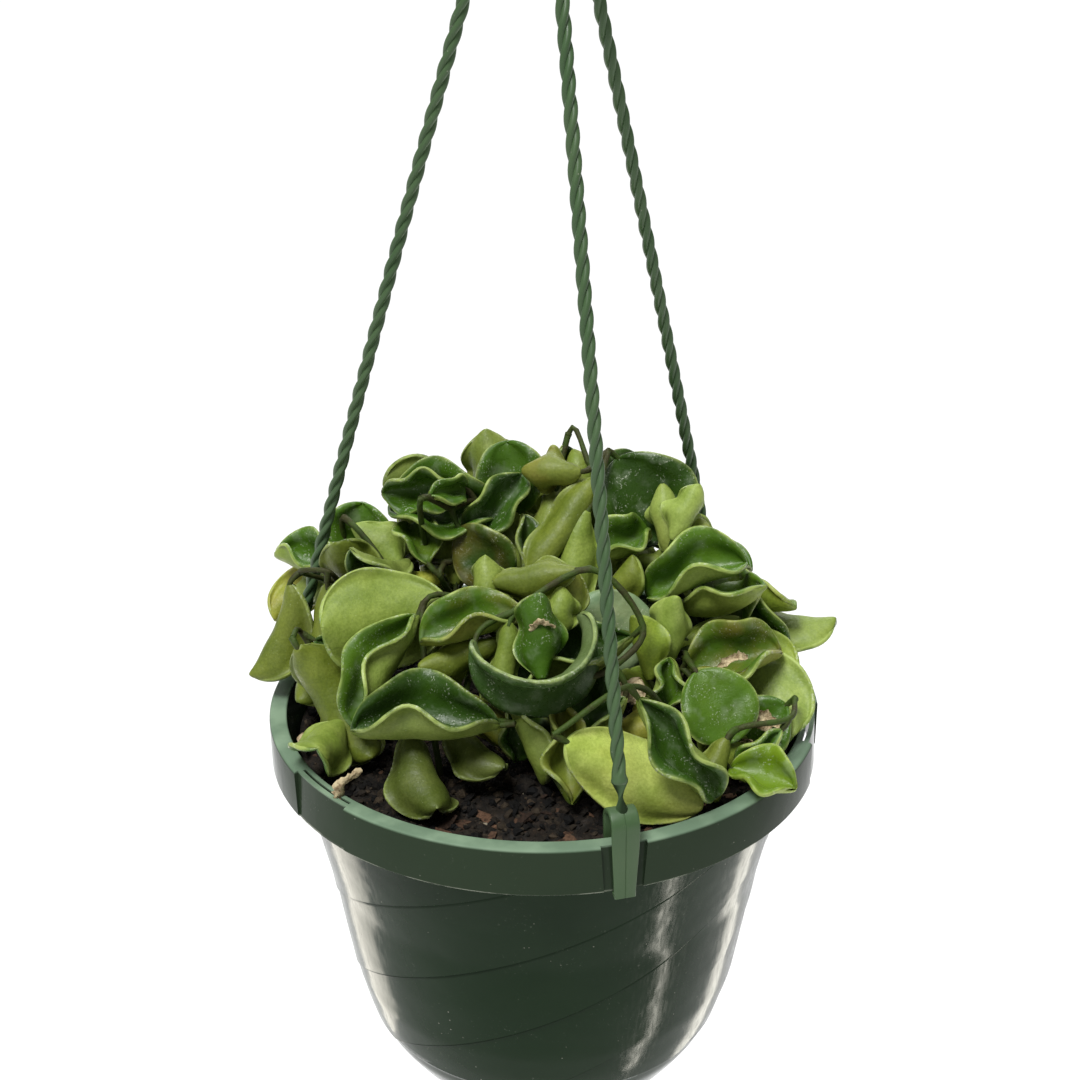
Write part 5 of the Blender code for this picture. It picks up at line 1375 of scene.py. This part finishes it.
@dataclass
class Hook:
    """The hub that gathers the strands, and the round hook over it, which hangs above the photograph."""

    hub_low: float = 232.0
    hub_top: float = 237.0
    hub_radius: float = 14.5
    rod: float = 2.75
    bend: float = 15.75
    centre: float = 268.0

    def build(self) -> bpy.types.Object:
        """Make the hub and the hook as one piece and cut the strands' holes."""
        low, high, wide = self.hub_low, self.hub_top, self.hub_radius
        corner = [math.radians(d) for d in (0, 30, 60, 90)]
        outline = [(wide - 1 + math.sin(a), low + 1 - math.cos(a)) for a in corner]
        outline += [(wide - 1 + math.cos(a), high - 1 + math.sin(a)) for a in corner]
        hub = mesh_object("hub_and_hook", turned(outline, 72).lifted(), 40.0)
        holes = []
        for azimuth in CLIP_AZIMUTHS:
            path = np.array([strand_point(azimuth, height) for height in (low - 3.0, high + 3.0)])
            holes.append(mesh_object("tool", tube(path, np.full(2, 2.3), 24).lifted()))
        cut(hub, holes)
        points = [(0.0, 0.0, high - 2.0), (0.0, 0.0, high + 8.0), (-4.5, 0.0, self.centre - 17.0)]
        for degrees in range(225, -40, -20):
            a = math.radians(degrees)
            points.append((self.bend * math.cos(a), 0.0, self.centre + self.bend * math.sin(a)))
        path = smooth_path(np.array(points), 6)
        radius = np.full(len(path), self.rod)
        radius[-4:] = self.rod * np.array((0.98, 0.9, 0.72, 0.4))
        rod = mesh_object("rod", tube(path, radius, 24).lifted(), 60.0)
        with bpy.context.temp_override(active_object=hub, selected_editable_objects=[hub, rod],
                                       selected_objects=[hub, rod]):
            bpy.ops.object.join()
        hub.data.shade_smooth()
        hub.data.set_sharp_from_angle(angle=math.radians(40))
        return hub


@dataclass(frozen=True)
class DampSoil:
    """Finish of the potting mix: near-black brown, crumbly, with rusty fibres and a few pale grains."""

    name: str = "damp_soil"

    def material(self) -> bpy.types.Material:
        """The finish as a material."""
        graph = Graph(self.name)
        colour = graph.mixed(graph.between(graph.noise(2.6, 5.0, 0.65), 0.35, 0.7), (0.003, 0.0024, 0.0015),
                             (0.018, 0.012, 0.007))
        rusty = graph.between(graph.noise(1.1, 4.0, 0.6), 0.62, 0.72)
        colour = graph.mixed(graph.maths("MULTIPLY", rusty, 0.7), colour, (0.060, 0.034, 0.019))
        graph.bumped(graph.noise(0.9, 5.0, 0.6), 0.5)
        gloss = graph.between(graph.noise(3.0), 0.3, 0.7, 0.55, 0.95)
        return graph.done(colour, gloss, Specular_IOR_Level=0.25)


@dataclass(frozen=True)
class LooseBits:
    """Finish of crumbs, bark and grains: each bit's own colour, mottled and rough."""

    name: str = "loose_bits"

    def material(self) -> bpy.types.Material:
        """The finish as a material."""
        graph = Graph(self.name)
        mottle = graph.between(graph.noise(0.9, 4.0, 0.6), 0.3, 0.7)
        dark = graph.mixed(1.0, graph.stored("tint", True), (0.45, 0.42, 0.40), "MULTIPLY")
        colour = graph.mixed(mottle, dark, graph.stored("tint", True))
        graph.bumped(graph.noise(0.6, 4.0), 0.3)
        return graph.done(colour, 0.85, Specular_IOR_Level=0.25)


@dataclass
class PottingMix:
    """The soil with its crumbs, bark chips and pale grains."""

    rings: int = 84
    columns: int = 260
    edge: float = 74.0
    seed: int = 5
    side: Outline = ((33.0, 2.6), (48.6, 17.8), (53.8, 28.0), (60.4, 58.2), (67.2, 92.8))

    def relief(self, x: np.ndarray, y: np.ndarray) -> np.ndarray:
        """Height over the pot's underside: the plain soil plus crumbs of three sizes, flat at the wall."""
        places = np.stack((x, y), axis=-1)
        rough = 0.8 * waves(places, 9.0, 1) + 0.9 * np.abs(waves(places, 4.2, 2))
        rough += 0.5 * waves(places, 1.9, 3)
        fade = np.clip((self.edge - np.hypot(x, y)) / 3.0, 0, 1)
        return soil_height(x, y) + rough * fade

    def bed(self) -> Shell:
        """The soil's body: flat foot, sides within the wall and a rough top, ring by ring."""
        angle = np.linspace(0, 2 * math.pi, self.columns, endpoint=False)
        radius = np.concatenate(([r for r, _ in self.side], self.edge * np.linspace(1, 0.008, self.rings)))
        x, y = radius[:, None] * np.sin(angle), -radius[:, None] * np.cos(angle)
        z = self.relief(x, y)
        z[:len(self.side)] = np.array([h for _, h in self.side])[:, None]
        return capped(np.stack((x, y, z), axis=-1))

    def lumps(self, places: np.ndarray, sizes: np.ndarray, tints: np.ndarray,
              stretch: tuple[float, float, float], seed: int) -> Shell:
        """Many irregular lumps: one small ball, dented, stretched, turned and set down at each place.

        Args:
            places: Middle of each lump, over the pot's underside.
            sizes: Radius of each.
            tints: Colour of each.
            stretch: Factors along the lump's own axes.
            seed: Number that fixes the dents and turns.

        Returns:
            All the lumps as one shell with the value tint.
        """
        draw = np.random.default_rng(seed)
        work = bmesh.new()
        bmesh.ops.create_icosphere(work, subdivisions=1, radius=1.0)
        ball = np.array([vert.co for vert in work.verts])
        faces = np.array([[vert.index for vert in face.verts] for face in work.faces])
        work.free()
        count = len(places)
        dented = ball[None] * draw.uniform(0.72, 1.2, (count, len(ball), 1)) * np.array(stretch)
        turn, tilt = draw.uniform(0, 2 * math.pi, count), draw.normal(0, 0.3, count)
        c, s = np.cos(turn), np.sin(turn)
        x = dented[..., 0] * c[:, None] - dented[..., 1] * s[:, None]
        y = dented[..., 0] * s[:, None] + dented[..., 1] * c[:, None]
        z = dented[..., 2] + x * np.sin(tilt)[:, None]
        points = np.stack((x, y, z), axis=-1) * sizes[:, None, None] + places[:, None]
        blocks = (faces[None] + np.arange(count)[:, None, None] * len(ball)).reshape(-1, 3)
        tint = np.concatenate((np.repeat(tints, len(ball), axis=0), np.ones((count * len(ball), 1))), axis=1)
        return Shell(points.reshape(-1, 3), [blocks], {"tint": tint})

    def scattered(self, count: int, low: float, high: float, sunk: float,
                  seed: int) -> tuple[np.ndarray, np.ndarray]:
        """Random places on the soil with sizes between two limits, sunk by a share of their size."""
        draw = np.random.default_rng(seed)
        radius = (self.edge - 2.5) * np.sqrt(draw.uniform(0, 1, count))
        angle = draw.uniform(0, 2 * math.pi, count)
        sizes = low + (high - low) * draw.uniform(0, 1, count) ** 2.2
        x, y = radius * np.sin(angle), -radius * np.cos(angle)
        return np.stack((x, y, self.relief(x, y) - sunk * sizes), axis=1), sizes

    def build(self) -> list[bpy.types.Object]:
        """Make the soil, its crumbs, the bark chips and the pale grains."""
        draw = np.random.default_rng(self.seed)
        bits = LooseBits().material()
        bed = mesh_object("soil_bed", self.bed(), 80.0)
        bed.data.materials.append(DampSoil().material())
        places, sizes = self.scattered(5200, 0.4, 2.0, 0.15, 21)
        tints = np.array((0.011, 0.008, 0.0048)) * draw.uniform(0.1, 1.0, (len(sizes), 1)) ** 3 * 5.0
        crumbs = mesh_object("soil_crumbs", self.lumps(places, sizes, tints, (1.2, 1, 0.85), 22), 30.0)
        places, sizes = self.scattered(210, 1.0, 3.4, 0.1, 31)
        palette = np.array(((0.060, 0.032, 0.018), (0.10, 0.055, 0.032), (0.032, 0.018, 0.011),
                            (0.16, 0.10, 0.06)))
        chosen = palette[draw.integers(len(palette), size=len(sizes))]
        tints = chosen * draw.uniform(0.7, 1.3, (len(sizes), 1))
        bark = mesh_object("bark_chips", self.lumps(places, sizes, tints, (1.9, 0.8, 0.35), 32), 25.0)
        places, sizes = self.scattered(75, 0.5, 1.25, 0.1, 41)
        tints = np.array((0.46, 0.40, 0.29)) * draw.uniform(0.6, 1.2, (len(sizes), 1))
        grains = mesh_object("pale_grains", self.lumps(places, sizes, tints, (1.1, 1, 0.8), 42), 30.0)
        for made in (crumbs, bark, grains):
            made.data.materials.append(bits)
        return [bed, crumbs, bark, grains]


class Withered(Enum):
    """Dry leaves, ends and roots: path in mm from the rim's centre, half width, curl and node of each."""

    CURL_ON_RIM = (((-55.4, -53.9, -3.0), (-56.2, -55.6, 1.0), (-54.6, -54.7, 4.2), (-50.2, -51.9, 6.0)),
                   2.4, 75, "soil")
    PAPERY = (((20.6, -24.0, 17.0), (24.5, -29.7, 19.5), (28.4, -32.6, 16.0)), 4.0, 40, "vine_disc")
    TORN_STALK = (((55.6, -23.6, 17.0), (58.3, -30.3, 12.0), (61.6, -32.5, 9.0), (67.0, -35.2, 6.0)),
                  2.6, 95, "vine_front_right")
    TORN_FLAP = (((58.3, -30.3, 12.0), (63.0, -28.6, 9.0), (68.5, -30.0, 6.5)),
                 2.2, 60, "vine_front_right")
    CORKY_END = (((52.3, -30.8, 1.5), (57.6, -32.4, 3.6), (62.0, -33.8, 1.5)), 2.0, 150, "soil")
    DRY_TIP = (((49.7, -24.2, 23.0), (54.2, -23.1, 25.5), (58.5, -20.8, 24.5)),
               1.7, 70, "vine_front_right")
    BUD_SCALE = (((-3.6, -37.4, 42.0), (-1.2, -38.2, 44.5), (3.2, -37.0, 43.0)), 1.6, 70, "vine_centre")
    PALE_SCRAP = (((-70.4, -23.6, -4.0), (-71.9, -19.6, -2.0), (-70.8, -15.2, -3.5)), 1.6, 60, "soil")

    def shell(self, index: int) -> Shell:
        """The scrap as a thin curled ribbon, widest near its middle and frayed along its margins.

        Args:
            index: Number that fixes how it frays.

        Returns:
            The closed shell.
        """
        places, half_width, curl, _ = self.value
        path = smooth_path(np.array(places), 9)
        frames = path_frames(path)
        part = np.linspace(0, 1, len(path))
        draw = np.random.default_rng(60 + index)
        width = half_width * (0.25 + np.sin(math.pi * np.clip(part, 0.02, 0.98)) ** 0.7)
        width = width * draw.uniform(0.55, 1.15, len(path))
        q = np.linspace(-1, 1, 9)
        bend = math.radians(curl)
        aside = np.sin(bend * q) / max(bend, 0.2)
        rise = (1 - np.cos(bend * q)) / max(bend, 0.2)
        sheet = path[:, None] + width[:, None, None] * (aside[None, :, None] * frames[0][:, None]
                                                        + rise[None, :, None] * frames[1][:, None])
        sheet += 0.35 * waves(sheet, 2.2, 70 + index)[..., None] * frames[1][:, None]
        offset = 0.16 * frames[1][:, None]
        return capped(np.concatenate((sheet + offset, (sheet - offset)[:, ::-1]), axis=1))


@dataclass
class DriedBits:
    """The withered scraps, corky ends and thin aerial roots that lie among the leaves and on the soil."""

    roots: int = 26
    seed: int = 77

    def aerial_roots(self) -> Shell:
        """Short brown roots that hang and curl near the middle of the plant."""
        draw = np.random.default_rng(self.seed)
        shells = []
        for _ in range(self.roots):
            start = np.array((10.0, -12.0, 2.0)) + draw.normal(0, (11.0, 7.0, 2.0))
            steps = np.cumsum(draw.normal(0, 2.0, (6, 3)) + (0.6, -0.9, -0.8), axis=0)
            path = smooth_path(start + steps, 5)
            path[:, 2] = np.maximum(path[:, 2], soil_height(path[:, 0], path[:, 1]) - RIM_HEIGHT + 0.3)
            shells.append(tube(path, np.linspace(0.42, 0.22, len(path)), 5))
        return joined(shells)

    def build(self) -> list[tuple[bpy.types.Object, str]]:
        """Make each scrap and the roots.

        Returns:
            Each piece with the name of the CAD node that it stands for.
        """
        dry = DrySkin().material()
        pieces = []
        for index, scrap in enumerate(Withered):
            made = mesh_object("dry_" + scrap.name.lower(), scrap.shell(index).lifted(), 60.0)
            pieces.append((made, scrap.value[3]))
        pieces.append((mesh_object("aerial_roots", self.aerial_roots().lifted(), 60.0), "soil"))
        for made, _ in pieces:
            made.data.materials.append(dry)
        return pieces


@dataclass(frozen=True)
class Studio:
    """The photograph's viewpoint, a pale floor well below the hanging pot, and plain soft light."""

    distance: float = 582.0
    elevation: float = 29.6
    yaw: float = 0.10
    pitch: float = 4.68
    roll: float = 0.20
    focal_pixels: float = 1916.0
    frame_pixels: float = 1080.0
    floor_height: float = -0.95

    def camera(self) -> bpy.types.Object:
        """Set the camera where the photograph was taken: aimed at the rim's middle, then turned a little."""
        e = math.radians(self.elevation)
        place = Vector((0, -self.distance * math.cos(e), self.distance * math.sin(e)))
        ahead = -place.normalized()
        right = ahead.cross(Vector((0, 0, 1))).normalized()
        up = right.cross(ahead)
        for degrees, which in ((self.yaw, "up"), (self.pitch, "right"), (self.roll, "ahead")):
            axis = {"up": up, "right": right, "ahead": ahead}[which]
            turn = Matrix.Rotation(math.radians(degrees), 3, axis)
            right, up, ahead = turn @ right, turn @ up, turn @ ahead
        lens = bpy.data.cameras.new("camera")
        lens.sensor_width = 36.0
        lens.lens = self.focal_pixels / self.frame_pixels * lens.sensor_width
        lens.clip_start = 0.01
        made = bpy.data.objects.new("camera", lens)
        place = place * MM + Vector((0, 0, RIM_HEIGHT * MM))
        made.matrix_world = Matrix.Translation(place) @ Matrix((right, up, -ahead)).transposed().to_4x4()
        bpy.context.scene.collection.objects.link(made)
        bpy.context.scene.camera = made
        return made

    def floor(self) -> bpy.types.Object:
        """A wide pale floor."""
        mesh = bpy.data.meshes.new("floor")
        size, z = 24.0, self.floor_height
        corners = [(-size, -size, z), (size, -size, z), (size, size, z), (-size, size, z)]
        mesh.from_pydata(corners, [], [(0, 1, 2, 3)])
        made = bpy.data.objects.new("floor", mesh)
        bpy.context.scene.collection.objects.link(made)
        graph = Graph("pale_floor")
        mesh.materials.append(graph.done((0.88, 0.88, 0.88), 0.9))
        return made

    def light(self, name: str, place: tuple[float, float, float], size: tuple[float, float], glow: float,
              colour: Colour = (1.0, 1.0, 1.0)) -> None:
        """One oblong soft light aimed at the plant, whose power follows from its size and its glow."""
        lamp = bpy.data.lights.new(name, "AREA")
        lamp.shape = "RECTANGLE"
        lamp.size, lamp.size_y = size
        lamp.energy = math.pi * size[0] * size[1] * glow
        lamp.color = colour
        made = bpy.data.objects.new(name, lamp)
        aim = Vector((0, 0, 0.12)) - Vector(place)
        turn = aim.to_track_quat("-Z", "Y").to_matrix().to_4x4()
        made.matrix_world = Matrix.Translation(Vector(place)) @ turn
        bpy.context.scene.collection.objects.link(made)

    def sun(self, place: tuple[float, float, float], strength: float, degrees: float) -> None:
        """A soft sun that shines from the direction of place."""
        lamp = bpy.data.lights.new("sky", "SUN")
        lamp.energy = strength
        lamp.angle = math.radians(degrees)
        made = bpy.data.objects.new("sky", lamp)
        made.matrix_world = (-Vector(place)).to_track_quat("-Z", "Y").to_matrix().to_4x4()
        bpy.context.scene.collection.objects.link(made)

    def build(self) -> bpy.types.Object:
        """Set camera, light and floor."""
        self.camera()
        world = bpy.data.worlds.new("studio")
        world.use_nodes = True
        backdrop = world.node_tree.nodes["Background"]
        backdrop.inputs["Color"].default_value = (1.0, 1.0, 1.0, 1.0)
        backdrop.inputs["Strength"].default_value = 0.22
        bpy.context.scene.world = world
        self.sun((-0.30, -0.42, 1.0), 3.6, 22.0)
        self.light("overhead", (0.1, 0.2, 1.5), (0.9, 0.9), 3.2)
        self.light("back", (0.0, 1.5, 0.95), (1.6, 0.9), 3.0)
        self.light("right_streak", (0.50, -0.16, -0.55), (0.05, 0.40), 13.0, (1.0, 0.96, 0.84))
        self.light("right_patch", (0.46, 0.36, -0.50), (0.14, 0.34), 4.4, (1.0, 0.96, 0.84))
        self.light("left_patch", (-0.48, 0.36, -0.46), (0.26, 0.24), 3.4, (1.0, 0.94, 0.80))
        bpy.context.scene.view_settings.view_transform = "Standard"
        return self.floor()


def main() -> None:
    """Load the frame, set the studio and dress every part."""
    logging.basicConfig(level=logging.INFO, format="%(name)s: %(message)s")
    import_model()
    Studio().build()
    pieces = [(Pot().build(), "pot")]
    plastic = STRAND_PLASTIC.material()
    for node, azimuth in zip(("strand_front", "strand_right", "strand_left"), CLIP_AZIMUTHS):
        strand = Strand(node, azimuth).build()
        strand.data.materials.append(plastic)
        pieces.append((strand, node))
    hook = Hook().build()
    hook.data.materials.clear()
    hook.data.materials.append(plastic)
    pieces.append((hook, "hook"))
    pieces += [(made, "soil") for made in PottingMix().build()]
    pieces += Foliage().build()
    pieces += DriedBits().build()
    for made, node in pieces:
        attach(made, "root")
        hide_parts(node)
        LOG.info("%s stands for %s with %d faces", made.name, node, len(made.data.polygons))


if __name__ == "__main__":
    main()
